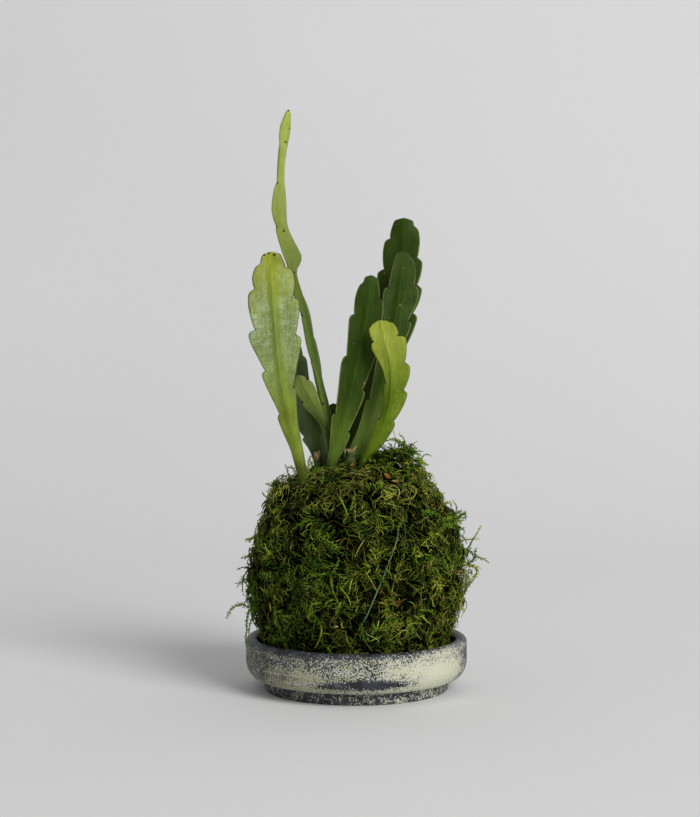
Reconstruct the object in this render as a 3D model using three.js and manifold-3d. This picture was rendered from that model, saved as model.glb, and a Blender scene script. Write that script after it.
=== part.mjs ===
// A kokedama: an orchid cactus with flat notched stems, rooted in a ball of soil that moss covers and one
// thread binds, standing in a round stepped saucer of glazed ceramic.
// Millimetres, +Z up. The origin is the centre of the saucer's underside, and the front looks along -Y.
import * as THREE from "three";
import { mergeVertices } from "three/addons/utils/BufferGeometryUtils.js";
import Module from "manifold-3d";

const wasm = await Module();
wasm.setup();

// Driving dimensions

const GAP = 0.3; // clearance between neighbouring pieces

// Saucer: a foot, a flat step out, a round corner, a straight wall and a thick rounded rim
const SAUCER = {
  radius: 60,
  footRadius: 50,
  footHeight: 6.5,
  stepRadius: 53,
  cornerHeight: 9.5,
  rimThickness: 6.5,
  rimRound: 2.5,
  height: 28.3,
  floor: 7,
  floorRound: 5,
  sides: 48,
  roundSteps: 2,
};

// Ball: a superellipsoid, a little taller than wide, that rests on a flat spot
const BALL = {
  centre: 62,
  halfWidth: 54,
  halfHeight: 58,
  squareness: 2.6,
  rest: SAUCER.floor + GAP,
};
const MOSS_THICKNESS = 8;
const MOSS_DETAIL = 11; // divisions of each side of the icosahedron that the moss surface starts from
const SOIL_DETAIL = 4;

// Cushions: where the moss grows thicker, by a height at the centre that fades over a reach
const CUSHIONS = [
  { at: new THREE.Vector3(20, -4, 119), reach: 15, height: 9 },
  { at: new THREE.Vector3(54, -4, 66), reach: 14, height: 3 },
  { at: new THREE.Vector3(-54, -8, 58), reach: 20, height: 2.5 },
  { at: new THREE.Vector3(-36, -12, 110), reach: 9, height: 4 },
];

// Tufts: the points of the moss surface that stand out of it, down to the lowest height. In the saucer they
// keep within a radius.
const TUFT = { low: 2.6, high: 6, lean: 2.4, lowest: 12, inSaucer: 52.6 };

// Sprigs: single longer shoots of moss. Each rises from the surface, bends, and reaches along it.
const SPRIG = {
  count: 46,
  share: 0.72, // of the ball's height, from its top, that has them
  short: 8,
  long: 13,
  rise: 0.5,
  reach: 0.6,
  lift: 0.15,
  rootRadius: 1.3,
  tipRadius: 0.4,
  sunk: 3,
  steps: 3,
  sides: 3,
  fromThread: 4,
  overRim: 4,
};

// Thread: round turns pressed into the moss
const THREAD = { radius: 0.4, sunk: 0.5, furrow: 1.6, reach: 2, steps: 44, sides: 5, knot: 1.5 };
const THREAD_TURNS = [
  new THREE.Vector3(0.903, 0.187, -0.388), // across the front, right of the stems
  new THREE.Vector3(0.2, -0.88, 0.43), // across the sides, behind the stems
];

// Stems: a round stalk below, and above it two thin wings beside a midrib. The wing's thickness is given at
// a share of the half width. Each lobe is fullest at a share of its length, and the notch cuts a share off.
const STEM = {
  stalk: 5,
  stalkHalfWidth: 3,
  stalkEdge: 0.45,
  flatHalfWidth: 6,
  rib: 4.4,
  wing: 1.9,
  wingAt: 0.42,
  edge: 1.2,
  tip: 1.4,
  notch: 0.2,
  lobe: 20,
  lobeTop: 0.74,
};
const STEM_STEP = 3.8; // distance between sections along a stem
const HOLE_GAP = 0.4; // round a stem in the soil and in the moss

// Each stem: the points of its spine from the buried end to the tip, its half widths [height, left, right],
// the heights of its notches on each side, and its turn about the vertical [height, degrees]
const STEMS = {
  stem_broad_pale: {
    colour: 0x9fb586,
    spine: [
      [-23, -14, 94],
      [-27.5, -18, 116],
      [-33, -22, 138],
      [-39.5, -26, 170],
      [-43, -28, 208],
      [-45, -28, 236],
    ],
    widths: [
      [94, 2.4, 2.4],
      [118, 3, 2.4],
      [138, 5, 4],
      [152, 6.6, 6],
      [170, 9.6, 9],
      [190, 15.2, 13.2],
      [209, 14.4, 13.6],
      [221, 12, 12.4],
      [230, 7.6, 8],
      [236, 1.6, 1.6],
    ],
    notches: { left: [151, 174, 195.5, 216.5, 229.3], right: [163.7, 191.3, 210.7, 226.7] },
    turn: [[94, -6]],
  },
  stem_tall_thin: {
    colour: 0x7f9d5b,
    spine: [
      [-13, -5, 98],
      [-14, -6, 122],
      [-14.5, -6, 140],
      [-20.8, -6, 170],
      [-28.4, -4, 205],
      [-34.8, -2, 233],
      [-41, -0.5, 256],
      [-40.8, 0, 273],
      [-39.8, 0, 291],
      [-36.3, 0, 312],
    ],
    widths: [
      [98, 2.4, 2.4],
      [140, 2.8, 2.8],
      [160, 5, 5],
      [190, 8, 8],
      [240, 8.5, 8.5],
      [280, 7, 7],
      [302, 5, 5],
      [312, 1.2, 1.2],
    ],
    notches: {
      left: [155, 178, 202, 225.4, 247.4, 272.5, 294.9],
      right: [166, 190, 214, 236, 260, 284, 304],
    },
    turn: [
      [98, 80],
      [205, 80],
      [232, 62],
      [258, 62],
      [275, 82],
      [292, 80],
      [304, 55],
    ],
  },
  side_stem: {
    colour: 0x9cb877,
    spine: [
      [-14.2, -6, 124],
      [-15.6, -6.6, 136],
      [-20.5, -9, 149],
      [-25, -10.5, 157],
      [-28.8, -12, 166],
      [-30, -12, 170.5],
    ],
    widths: [
      [124, 2, 2],
      [138, 2.4, 2.6],
      [149, 3.8, 3.8],
      [157, 6.4, 5.6],
      [163, 5.4, 6],
      [168, 4, 4.4],
      [170.5, 1.5, 1.5],
    ],
    notches: { left: [157.6], right: [166] },
    turn: [[124, 5]],
  },
  stem_dark_left: {
    colour: 0x4c6b40,
    spine: [
      [-20, 2, 98],
      [-20.4, 3, 122],
      [-21.5, 5, 137],
      [-27, 7, 154],
      [-32.5, 10, 174],
      [-37, 12, 196],
    ],
    widths: [
      [98, 2.2, 2.2],
      [124, 2.2, 2.2],
      [130, 4, 3.6],
      [138, 6.6, 5.6],
      [155, 6, 5],
      [168, 6.4, 5.6],
      [177, 7, 6.4],
      [186, 5.6, 5.2],
      [192, 3.6, 3.6],
      [196, 1.2, 1.2],
    ],
    notches: { left: [144, 166, 184], right: [154, 179.1] },
    turn: [[98, -12]],
  },
  stem_dark_front: {
    colour: 0x436238,
    spine: [
      [-15, -12, 98],
      [-13.3, -14, 123],
      [-10.6, -14, 132],
      [-6, -14, 150],
      [-0.8, -14, 172.5],
      [4.9, -12.5, 200],
      [8, -12, 224],
    ],
    widths: [
      [98, 2.4, 2.4],
      [123, 3, 3],
      [132, 5, 3.6],
      [150, 7, 5.8],
      [172, 8.2, 8.8],
      [186, 8.4, 9.4],
      [200, 9.2, 9.8],
      [212, 7.6, 7.6],
      [219, 6, 5],
      [224, 1.6, 1.6],
    ],
    notches: { left: [149, 179.4, 201.8, 219], right: [141, 164, 190, 212] },
    turn: [[98, 8]],
  },
  stem_dark_tallest: {
    colour: 0x39562f,
    spine: [
      [-1, 9, 98],
      [0.4, 10, 122],
      [5, 10.5, 145],
      [10.8, 12, 163.5],
      [19, 13, 186],
      [23.4, 14, 210.5],
      [25.5, 14, 238],
      [26, 14, 255.5],
    ],
    widths: [
      [98, 2.4, 2.4],
      [123, 3, 3],
      [145, 6, 4.6],
      [163, 7.8, 6.6],
      [186, 10, 9.6],
      [210, 12.4, 12.2],
      [225, 13.2, 11.6],
      [238, 11.2, 10.2],
      [247, 8.8, 8],
      [252, 5.6, 5.6],
      [255.5, 2, 2],
    ],
    notches: { left: [185, 206, 226.6, 243.8], right: [162, 183, 204.5, 219.2, 233.6, 250.8] },
    turn: [[98, -8]],
  },
  stem_dark_right: {
    colour: 0x48673a,
    spine: [
      [-5, -2, 98],
      [-3.4, -2, 122],
      [-0.7, -2, 130],
      [7.4, -2, 147],
      [12.8, -1, 164],
      [18.7, 1, 190.5],
      [23, 2, 215],
      [25.8, 2, 237.5],
    ],
    widths: [
      [98, 2.4, 2.4],
      [122, 3, 3],
      [139, 4.8, 4.2],
      [164, 5.2, 4.4],
      [177, 5.4, 5.6],
      [190, 6, 8.6],
      [200, 8.6, 9.6],
      [212, 9, 11.6],
      [221, 7.4, 9.4],
      [229, 6, 7.4],
      [234, 4, 4.4],
      [237.5, 1.5, 1.5],
    ],
    notches: { left: [156, 180, 199, 216.6], right: [148.7, 170, 185, 200.5, 219.3, 234.2] },
    turn: [[98, 12]],
  },
  stem_bright: {
    colour: 0x93b04e,
    spine: [
      [0, -6, 98],
      [3, -9.5, 122],
      [8.1, -13, 131.5],
      [13.6, -16, 144.5],
      [17.2, -19, 158],
      [17.8, -21, 171],
      [16.8, -22, 180],
      [14.5, -23, 188],
      [11.8, -23, 200],
    ],
    widths: [
      [98, 2.4, 2.4],
      [122, 2.6, 2.8],
      [136, 3.6, 5.4],
      [144, 3, 6.6],
      [153, 2.8, 8.4],
      [162, 3, 9.6],
      [170, 3.2, 11],
      [179, 5.8, 10.8],
      [186, 7.4, 12.4],
      [192, 6.6, 10],
      [196, 5, 6.6],
      [200, 2.2, 2.6],
    ],
    notches: { left: [147, 167, 189.5, 197.6], right: [147.6, 163.2, 176.1, 189.5, 197.6] },
    turn: [[98, -4]],
  },
  stem_short_dark: {
    colour: 0x3f5a35,
    spine: [
      [-7, 15, 98],
      [-8, 18, 122],
      [-10, 17, 139],
      [-12.8, 16, 153.5],
    ],
    widths: [
      [98, 2.2, 2.2],
      [124, 2.6, 2.6],
      [139, 3.8, 3.8],
      [147, 4.8, 4.6],
      [151, 3.4, 3.4],
      [153.5, 1.4, 1.4],
    ],
    notches: { left: [136], right: [144] },
    turn: [[98, 0]],
  },
};

// Helpers

// Numbers from 0 to 1, the same on every run
function seeded(seed) {
  let state = seed;
  return () => {
    state = (Math.imul(state, 1664525) + 1013904223) >>> 0;
    return state / 2 ** 32;
  };
}

function solidOf(geometry) {
  const bare = new THREE.BufferGeometry();
  bare.setAttribute("position", geometry.getAttribute("position"));
  bare.setIndex(geometry.getIndex());
  const merged = mergeVertices(bare, 1e-3);
  return new wasm.Manifold(
    new wasm.Mesh({
      numProp: 3,
      vertProperties: new Float32Array(merged.attributes.position.array),
      triVerts: new Uint32Array(merged.index.array),
    }),
  );
}

function geometryOf(solid) {
  const mesh = solid.getMesh();
  const geometry = new THREE.BufferGeometry();
  geometry.setAttribute("position", new THREE.BufferAttribute(mesh.vertProperties, 3));
  geometry.setIndex(new THREE.BufferAttribute(mesh.triVerts, 1));
  geometry.computeVertexNormals();
  return geometry;
}

// The solid without the loose scraps that cutting leaves
function largestBody(solid) {
  return solid.decompose().reduce((best, body) => (body.volume() > best.volume() ? body : best));
}

// A closed skin over rings of points, all with the same count, from the first ring to the last. Its quads
// are split alike on the first and the second half of the ring, which are the two faces of a flat stem.
function skinOf(rings) {
  const count = rings[0].length;
  const last = rings.length - 1;
  const positions = rings.flat().flatMap((point) => point.toArray());
  const faces = [];
  for (let row = 0; row < last; row++) {
    for (let k = 0; k < count; k++) {
      const a = row * count + k;
      const b = row * count + ((k + 1) % count);
      const c = a + count;
      const d = b + count;
      if (k < count / 2) faces.push(a, b, c, b, d, c);
      else faces.push(a, b, d, a, d, c);
    }
  }
  for (let k = 1; k < count - 1; k++) {
    faces.push(0, k + 1, k);
    faces.push(last * count, last * count + k, last * count + k + 1);
  }
  const geometry = new THREE.BufferGeometry();
  geometry.setAttribute("position", new THREE.Float32BufferAttribute(positions, 3));
  geometry.setIndex(faces);
  return geometry;
}

// The value of one column of a table of [height, ...values] rows, in straight lines between the rows
function valueAt(table, height, column = 1) {
  const above = table.findIndex((row) => row[0] > height);
  if (above === 0) return table[0][column];
  if (above === -1) return table[table.length - 1][column];
  const [low, high] = [table[above - 1], table[above]];
  return THREE.MathUtils.mapLinear(height, low[0], high[0], low[column], high[column]);
}

const named = (name, geometry, colour, roughness) => {
  const material = new THREE.MeshStandardMaterial({ color: colour, roughness, metalness: 0 });
  const mesh = new THREE.Mesh(geometry, material);
  mesh.name = name;
  return mesh;
};

// Saucer

function saucer() {
  const d = SAUCER;
  const inner = d.radius - d.rimThickness;
  const rimBase = d.height - d.rimRound;
  const outline = new THREE.Path();
  outline.moveTo(0, 0);
  outline.lineTo(d.footRadius, 0);
  outline.lineTo(d.footRadius, d.footHeight);
  outline.lineTo(d.stepRadius, d.footHeight);
  outline.absellipse(
    d.stepRadius,
    d.footHeight + d.cornerHeight,
    d.radius - d.stepRadius,
    d.cornerHeight,
    -Math.PI / 2,
    0,
  );
  outline.absellipse(inner + d.rimThickness / 2, rimBase, d.rimThickness / 2, d.rimRound, 0, Math.PI);
  outline.absarc(inner - d.floorRound, d.floor + d.floorRound, d.floorRound, 0, -Math.PI / 2, true);
  outline.lineTo(0, d.floor);
  return new THREE.LatheGeometry(outline.getPoints(d.roundSteps), d.sides).rotateX(Math.PI / 2);
}

// Stems

// Share of the full half width at a height: each lobe swells slowly from its notch, rounds over and drops
// back to the next notch
function lobeShare(height, notches) {
  const low = notches.findLast((notch) => notch <= height) ?? notches[0] - STEM.lobe;
  const high = notches.find((notch) => notch > height);
  const along = THREE.MathUtils.clamp((height - low) / ((high ?? low + STEM.lobe) - low), 0, 1);
  const rounded = high && along > STEM.lobeTop ? (along - STEM.lobeTop) / (1 - STEM.lobeTop) : 0;
  const swell = Math.sin((Math.PI / 2) * Math.min(along / STEM.lobeTop, 1)) * Math.sqrt(1 - rounded ** 2);
  return 1 - STEM.notch * (1 - swell);
}

// One section of a stem: two thin wings beside a raised midrib, front and back
function stemSection(stem, point, tangent, share, grow) {
  const angle = THREE.MathUtils.degToRad(valueAt(stem.turn, point.z));
  const side = new THREE.Vector3(Math.cos(angle), Math.sin(angle), 0);
  side.addScaledVector(tangent, -side.dot(tangent)).normalize();
  const front = side.clone().cross(tangent);
  const left = valueAt(stem.widths, point.z, 1) * lobeShare(point.z, stem.notches.left);
  const right = valueAt(stem.widths, point.z, 2) * lobeShare(point.z, stem.notches.right);
  const { lerp, smoothstep } = THREE.MathUtils;
  const flatness = smoothstep((left + right) / 2, STEM.stalkHalfWidth, STEM.flatHalfWidth);
  const rib = lerp(lerp(STEM.stalk, STEM.rib, flatness), STEM.tip, share ** 4);
  const wing = Math.min(rib, lerp(rib * (1 - STEM.wingAt ** 2), STEM.wing, flatness));
  const edge = Math.min(wing, lerp(rib * STEM.stalkEdge, STEM.edge, flatness));
  const half = [
    [left + grow, edge],
    [left * STEM.wingAt, wing],
    [0, rib],
    [-right * STEM.wingAt, wing],
    [-right - grow, edge],
  ];
  const place = (across, depth) => {
    return point.clone().addScaledVector(side, -across).addScaledVector(front, depth);
  };
  return [
    ...half.map(([across, thickness]) => place(across, thickness / 2 + grow)),
    ...half.reverse().map(([across, thickness]) => place(across, -thickness / 2 - grow)),
  ];
}

// A stem, or with a grow above 0 the hole that it stands in
function stemSolid(stem, grow = 0) {
  const spine = new THREE.CatmullRomCurve3(
    stem.spine.map((point) => new THREE.Vector3(...point)),
    false,
    "centripetal",
  );
  const steps = Math.ceil(spine.getLength() / STEM_STEP);
  const rings = [];
  for (let step = 0; step <= steps; step++) {
    const share = step / steps;
    const tangent = spine.getTangentAt(share);
    const point = spine.getPointAt(share);
    if (step === 0) point.addScaledVector(tangent, -grow);
    if (step === steps) point.addScaledVector(tangent, grow);
    rings.push(stemSection(stem, point, tangent, share, grow));
  }
  return solidOf(skinOf(rings));
}

const { side_stem: SIDE_STEM, ...ROOTED_STEMS } = STEMS;
const stems = {};
for (const [name, stem] of Object.entries(ROOTED_STEMS)) stems[name] = stemSolid(stem);
stems.stem_tall_thin = stems.stem_tall_thin.add(stemSolid(SIDE_STEM));

const holes = Object.values(STEMS)
  .map((stem) => stemSolid(stem, HOLE_GAP))
  .reduce((sum, hole) => sum.add(hole));

// Ball

// The point of a superellipsoid in a direction from its centre: (r / a)^n + (|z| / b)^n = 1, with the part
// below the rest height pressed flat
function ballPoint(direction, shrink = 0, rest = BALL.rest) {
  const n = BALL.squareness;
  const across = Math.hypot(direction.x, direction.y) / (BALL.halfWidth - shrink);
  const upright = Math.abs(direction.z) / (BALL.halfHeight - shrink);
  const reach = (across ** n + upright ** n) ** (-1 / n);
  const point = direction.clone().multiplyScalar(reach);
  point.z = Math.max(point.z + BALL.centre, rest);
  return point;
}

function ballNormal(point) {
  if (point.z <= BALL.rest) return new THREE.Vector3(0, 0, -1);
  const n = BALL.squareness;
  const radius = Math.hypot(point.x, point.y);
  const height = point.z - BALL.centre;
  const across = radius ** (n - 2) / BALL.halfWidth ** n;
  const upright = Math.abs(height) ** (n - 2) / BALL.halfHeight ** n;
  return new THREE.Vector3(point.x * across, point.y * across, height * upright).normalize();
}

function ballGeometry(detail, shrink) {
  const geometry = new THREE.IcosahedronGeometry(1, detail);
  const positions = geometry.getAttribute("position");
  const direction = new THREE.Vector3();
  for (let k = 0; k < positions.count; k++) {
    const point = ballPoint(direction.fromBufferAttribute(positions, k).normalize(), shrink);
    positions.setXYZ(k, ...point.toArray());
  }
  geometry.deleteAttribute("normal");
  geometry.deleteAttribute("uv");
  return mergeVertices(geometry, 1e-3);
}

function soilBall() {
  return largestBody(solidOf(ballGeometry(SOIL_DETAIL, MOSS_THICKNESS + GAP)).subtract(holes));
}

// Cushions

function cushionHeight(point) {
  const heightOf = ({ at, reach, height }) => height * Math.exp(-((point.distanceTo(at) / reach) ** 2));
  return CUSHIONS.map(heightOf).reduce((sum, height) => sum + height);
}

// A point of the ball's surface in a direction, on the cushions and raised by a further height
function mossPoint(direction, raised = 0) {
  const point = ballPoint(direction);
  return point.addScaledVector(ballNormal(point), cushionHeight(point) + raised);
}

// Thread

// The route of one turn round the ball, in the plane through the centre with the given normal
function turnRoute(normal, steps, sunk) {
  const first = new THREE.Vector3(0, 0, 1).cross(normal).normalize();
  const second = normal.clone().normalize().cross(first);
  const route = [];
  for (let k = 0; k < steps; k++) {
    const angle = (2 * Math.PI * k) / steps;
    const direction = first.clone().multiplyScalar(Math.cos(angle));
    direction.addScaledVector(second, Math.sin(angle));
    route.push(mossPoint(direction, -sunk));
  }
  return route;
}

function bindingThread() {
  const turns = THREAD_TURNS.map((normal) => {
    const path = new THREE.CatmullRomCurve3(turnRoute(normal, THREAD.steps, THREAD.sunk), true);
    return solidOf(new THREE.TubeGeometry(path, THREAD.steps, THREAD.radius, THREAD.sides, true));
  });
  const crossing = THREAD_TURNS[1].clone().cross(THREAD_TURNS[0]).normalize();
  const knot = new THREE.IcosahedronGeometry(THREAD.knot, 1);
  knot.translate(...mossPoint(crossing, THREAD.knot / 2).toArray());
  return turns.reduce((sum, turn) => sum.add(turn)).add(solidOf(knot));
}

// Moss

function nearest(point, points) {
  return points.reduce((best, other) => Math.min(best, other.distanceTo(point)), Infinity);
}

function faceDistance(face, points) {
  const middle = face.getMidpoint(new THREE.Vector3());
  const size = face.a.distanceTo(middle);
  const near = points.filter((point) => point.distanceTo(middle) < 2 * size);
  const closest = near.map((point) => face.closestPointToPoint(point, new THREE.Vector3()));
  return Math.min(...near.map((point, k) => point.distanceTo(closest[k])));
}

// The moss surface: furrows where the thread presses it, and elsewhere tufts at as many of its points as
// can stand apart, each drawn out and leaning its own way
function mossSurface(threadRoute) {
  const random = seeded(7);
  const geometry = ballGeometry(MOSS_DETAIL, 0);
  const positions = geometry.getAttribute("position");
  const index = geometry.getIndex().array;
  const points = [];
  for (let k = 0; k < positions.count; k++) {
    const point = new THREE.Vector3().fromBufferAttribute(positions, k);
    points.push(point.addScaledVector(ballNormal(point), cushionHeight(point)));
  }

  const pressed = new Set();
  const neighbours = points.map(() => new Set());
  for (let k = 0; k < index.length; k += 3) {
    const corners = [index[k], index[k + 1], index[k + 2]];
    for (const corner of corners) corners.forEach((other) => neighbours[corner].add(other));
    const face = new THREE.Triangle(...corners.map((corner) => points[corner]));
    if (faceDistance(face, threadRoute) < THREAD.reach) {
      corners.forEach((corner) => pressed.add(corner));
    }
  }

  const raised = new Set();
  for (let k = 0; k < points.length; k++) {
    const apart = ![...neighbours[k]].some((other) => raised.has(other));
    if (apart && !pressed.has(k) && points[k].z > TUFT.lowest) raised.add(k);
  }

  points.forEach((point, k) => {
    const normal = ballNormal(point);
    const moved = point.clone();
    if (pressed.has(k)) moved.addScaledVector(normal, -THREAD.furrow);
    if (raised.has(k)) {
      moved.addScaledVector(normal, THREE.MathUtils.lerp(TUFT.low, TUFT.high, random()));
      moved.x += (random() - 0.5) * 2 * TUFT.lean;
      moved.y += (random() - 0.5) * 2 * TUFT.lean;
      moved.z += (random() - 0.5) * 2 * TUFT.lean;
      const radius = Math.hypot(moved.x, moved.y);
      if (moved.z < SAUCER.height + 2 && radius > TUFT.inSaucer) {
        moved.x *= TUFT.inSaucer / radius;
        moved.y *= TUFT.inSaucer / radius;
      }
    }
    positions.setXYZ(k, ...moved.toArray());
  });
  return solidOf(geometry);
}

function meetsSaucer(point) {
  const low = point.z < SAUCER.height + SPRIG.overRim;
  return low && Math.hypot(point.x, point.y) > TUFT.inSaucer - SPRIG.rootRadius;
}

// One sprig: a three-sided shoot from a root under the surface, through a bend, to a fine tip
function sprigSolid(root, bend, tip) {
  const path = new THREE.QuadraticBezierCurve3(root, bend, tip);
  const frames = path.computeFrenetFrames(SPRIG.steps, false);
  const rings = [];
  for (let step = 0; step <= SPRIG.steps; step++) {
    const share = step / SPRIG.steps;
    const radius = THREE.MathUtils.lerp(SPRIG.rootRadius, SPRIG.tipRadius, share);
    const ring = [];
    for (let side = 0; side < SPRIG.sides; side++) {
      const angle = (2 * Math.PI * side) / SPRIG.sides;
      const point = path.getPointAt(share);
      point.addScaledVector(frames.normals[step], radius * Math.cos(angle));
      ring.push(point.addScaledVector(frames.binormals[step], radius * Math.sin(angle)));
    }
    rings.push(ring);
  }
  return solidOf(skinOf(rings));
}

// The sprigs that show against the background: [root x, y, z], [tip x, y, z]
const OUTER_SPRIGS = [
  [[-52, -10, 48], [-71, -12, 38]],
  [[-50, -16, 36], [-62, -19, 31]],
  [[-52, -6, 66], [-64.5, -8, 66]],
  [[-49, -8, 88], [-57, -10, 99]],
  [[-38, -14, 108], [-45, -18, 121]],
  [[-28, -10, 114], [-36, -12, 127]],
  [[52, -6, 76], [67.5, -9, 88]],
  [[53, -4, 62], [70, -6, 69]],
  [[54, -8, 58], [62, -12, 45]],
  [[50, -4, 90], [60, -8, 97]],
  [[40, -8, 104], [48, -10, 113]],
  [[27, -14, 114], [33, -17, 131]],
  [[18, -6, 118], [22, -9, 138]],
  [[33, 5, 112], [40, 7, 123]],
  [[14, 7, 118], [15, 9, 136]],
  [[19, 0, 119], [17, -1, 136]],
  [[34, -5, 110], [41, -6, 125]],
];
const OUTER_SPRIG_BEND = 2; // height of an outer sprig's bend over the middle between its ends

function sprigs(threadRoute) {
  const random = seeded(23);
  const solids = [];
  for (const [from, to] of OUTER_SPRIGS) {
    const root = new THREE.Vector3(...from);
    const tip = new THREE.Vector3(...to);
    const bend = root.clone().lerp(tip, 0.5);
    bend.z += OUTER_SPRIG_BEND;
    solids.push(sprigSolid(root, bend, tip));
  }
  const golden = Math.PI * (3 - Math.sqrt(5));
  for (let k = 0; k < SPRIG.count; k++) {
    const height = 1 - (2 * SPRIG.share * (k + 0.5)) / SPRIG.count;
    const spread = Math.sqrt(1 - height * height);
    const direction = new THREE.Vector3(
      spread * Math.cos(golden * k),
      spread * Math.sin(golden * k),
      height,
    );
    const surface = mossPoint(direction);
    const normal = ballNormal(surface);
    const length = THREE.MathUtils.lerp(SPRIG.short, SPRIG.long, random());
    const turn = random() * 2 * Math.PI;
    const along = new THREE.Vector3(Math.cos(turn), Math.sin(turn), 0.6 * Math.sin(3 * turn));
    along.addScaledVector(normal, -along.dot(normal)).normalize();
    const root = surface.clone().addScaledVector(normal, -SPRIG.sunk);
    const bend = surface.clone().addScaledVector(normal, length * SPRIG.rise);
    const tip = bend.clone().addScaledVector(along, length * SPRIG.reach);
    tip.addScaledVector(normal, length * SPRIG.lift);
    const free = [surface, tip].every((point) => nearest(point, threadRoute) > SPRIG.fromThread);
    if (free && !meetsSaucer(bend) && !meetsSaucer(tip)) solids.push(sprigSolid(root, bend, tip));
  }
  return solids;
}

function mossCover() {
  const route = THREAD_TURNS.flatMap((normal) => turnRoute(normal, 4 * THREAD.steps, THREAD.sunk));
  const cavity = solidOf(ballGeometry(SOIL_DETAIL, MOSS_THICKNESS));
  const outside = sprigs(route).reduce((sum, sprig) => sum.add(sprig), mossSurface(route));
  return largestBody(outside.subtract(cavity).subtract(holes));
}

// The whole plant

const plant = new THREE.Group();
for (const [name, solid] of Object.entries(stems)) {
  plant.add(named(name, geometryOf(solid), STEMS[name].colour, 0.5));
}

const ball = new THREE.Group();
ball.add(named("soil_ball", geometryOf(soilBall()), 0x33271b, 0.95));
ball.add(named("moss_cover", geometryOf(mossCover()), 0x47601a, 0.9));
ball.add(named("binding_thread", geometryOf(bindingThread()), 0x2f6f62, 0.7));

const kokedama = new THREE.Group();
kokedama.add(named("saucer", saucer(), 0x7d8480, 0.45), ball, plant);

export default kokedama;
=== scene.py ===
# %% [markdown]
# # A moss ball plant in a glazed saucer
# The real object is a kokedama: an orchid cactus whose roots sit in a ball of soil, wrapped in moss and
# bound with one thread, standing in a round stepped saucer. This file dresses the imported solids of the
# part. Each piece is a surface worked out with numpy and finished with a material made of shader nodes.
# All places are the part's own, so the pieces fit the solids without any nudging.

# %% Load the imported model
import math

import bpy
import numpy as np
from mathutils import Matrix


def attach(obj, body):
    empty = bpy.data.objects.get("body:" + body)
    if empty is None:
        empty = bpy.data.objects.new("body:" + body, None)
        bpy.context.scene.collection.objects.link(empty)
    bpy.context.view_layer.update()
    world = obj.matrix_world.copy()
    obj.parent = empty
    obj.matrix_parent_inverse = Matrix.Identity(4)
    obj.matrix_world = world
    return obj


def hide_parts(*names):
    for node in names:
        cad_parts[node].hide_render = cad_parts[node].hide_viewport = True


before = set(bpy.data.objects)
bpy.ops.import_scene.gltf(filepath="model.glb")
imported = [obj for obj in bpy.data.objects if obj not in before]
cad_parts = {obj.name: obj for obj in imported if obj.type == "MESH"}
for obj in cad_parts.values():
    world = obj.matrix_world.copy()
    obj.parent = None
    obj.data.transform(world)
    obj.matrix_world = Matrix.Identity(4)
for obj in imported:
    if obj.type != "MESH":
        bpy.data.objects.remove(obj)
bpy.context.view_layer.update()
print("solids:", sorted(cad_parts))

# %% [markdown]
# ## Units and the camera
# Blender works in metres, and the part is drawn in millimetres, so every array is in millimetres until the
# moment it becomes a mesh. The camera stands one metre in front of the plant and looks slightly down. Its
# lens follows from how large one millimetre is in the picture.

# %% Units and the camera
MM = 0.001
IMAGE_HEIGHT = 817  # pixels, the longer side, which Blender fits the sensor to
FOCAL_PIXELS = 1851
SENSOR = 36
CAMERA_PLACE = (-3.43, -1000, 203)
CAMERA_DOWN = 2.93  # degrees below the horizon


def add_object(name, data):
    """A new object of the scene, at the origin."""
    made = bpy.data.objects.new(name, data)
    bpy.context.scene.collection.objects.link(made)
    return made


camera_data = bpy.data.cameras.new("camera")
camera_data.sensor_width = SENSOR
camera_data.lens = FOCAL_PIXELS * SENSOR / IMAGE_HEIGHT
camera = add_object("camera", camera_data)
camera.location = [value * MM for value in CAMERA_PLACE]
camera.rotation_euler = (math.radians(90 - CAMERA_DOWN), 0, 0)
bpy.context.scene.camera = camera
print("lens in millimetres:", round(camera_data.lens, 2))

# %% [markdown]
# ## From arrays to meshes
# A mesh needs points and faces. Both are numpy arrays here, and foreach_set copies a whole array into the
# mesh in one step. Numbers that a material needs at each point, such as the distance to an edge, travel
# with the mesh as named attributes.

# %% From arrays to meshes
def build_piece(name, surface, material, replaces):
    """Makes one piece from (points, triangles, values). Millimetres become metres, and each array in values
    becomes a float attribute with one number per point."""
    points, triangles, values = surface
    mesh = bpy.data.meshes.new(name)
    mesh.vertices.add(len(points))
    mesh.vertices.foreach_set("co", (points * MM).astype(np.float32).ravel())
    mesh.loops.add(triangles.size)
    mesh.loops.foreach_set("vertex_index", triangles.astype(np.int32).ravel())
    mesh.polygons.add(len(triangles))
    mesh.polygons.foreach_set("loop_start", np.arange(0, triangles.size, 3, dtype=np.int32))
    mesh.update(calc_edges=True)
    mesh.shade_smooth()
    for key, value in values.items():
        mesh.attributes.new(key, "FLOAT", "POINT").data.foreach_set("value", value.astype(np.float32))
    mesh.materials.append(material)
    piece = add_object(name, mesh)
    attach(piece, "root")
    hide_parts(*replaces)
    print(name, len(triangles), "triangles")


def join(surfaces):
    """Puts several surfaces into one: the points follow each other, and the faces count on from them."""
    starts = np.cumsum([0] + [len(points) for points, _, _ in surfaces[:-1]])
    points = np.concatenate([surface[0] for surface in surfaces])
    triangles = np.concatenate([surface[1] + start for surface, start in zip(surfaces, starts)])
    keys = surfaces[0][2]
    values = {key: np.concatenate([surface[2][key] for surface in surfaces]) for key in keys}
    return points, triangles, values


def unit(vectors):
    """Vectors of the same direction and length 1."""
    return vectors / np.maximum(np.linalg.norm(vectors, axis=-1, keepdims=True), 1e-9)


def square_to(vectors, along):
    """The part of each vector that stands square to the direction beside it, at length 1."""
    return unit(vectors - along * np.sum(vectors * along, axis=-1, keepdims=True))


def full_turn(number):
    """Angles of equal steps, once round."""
    return 2 * np.pi * np.arange(number) / number


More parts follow.
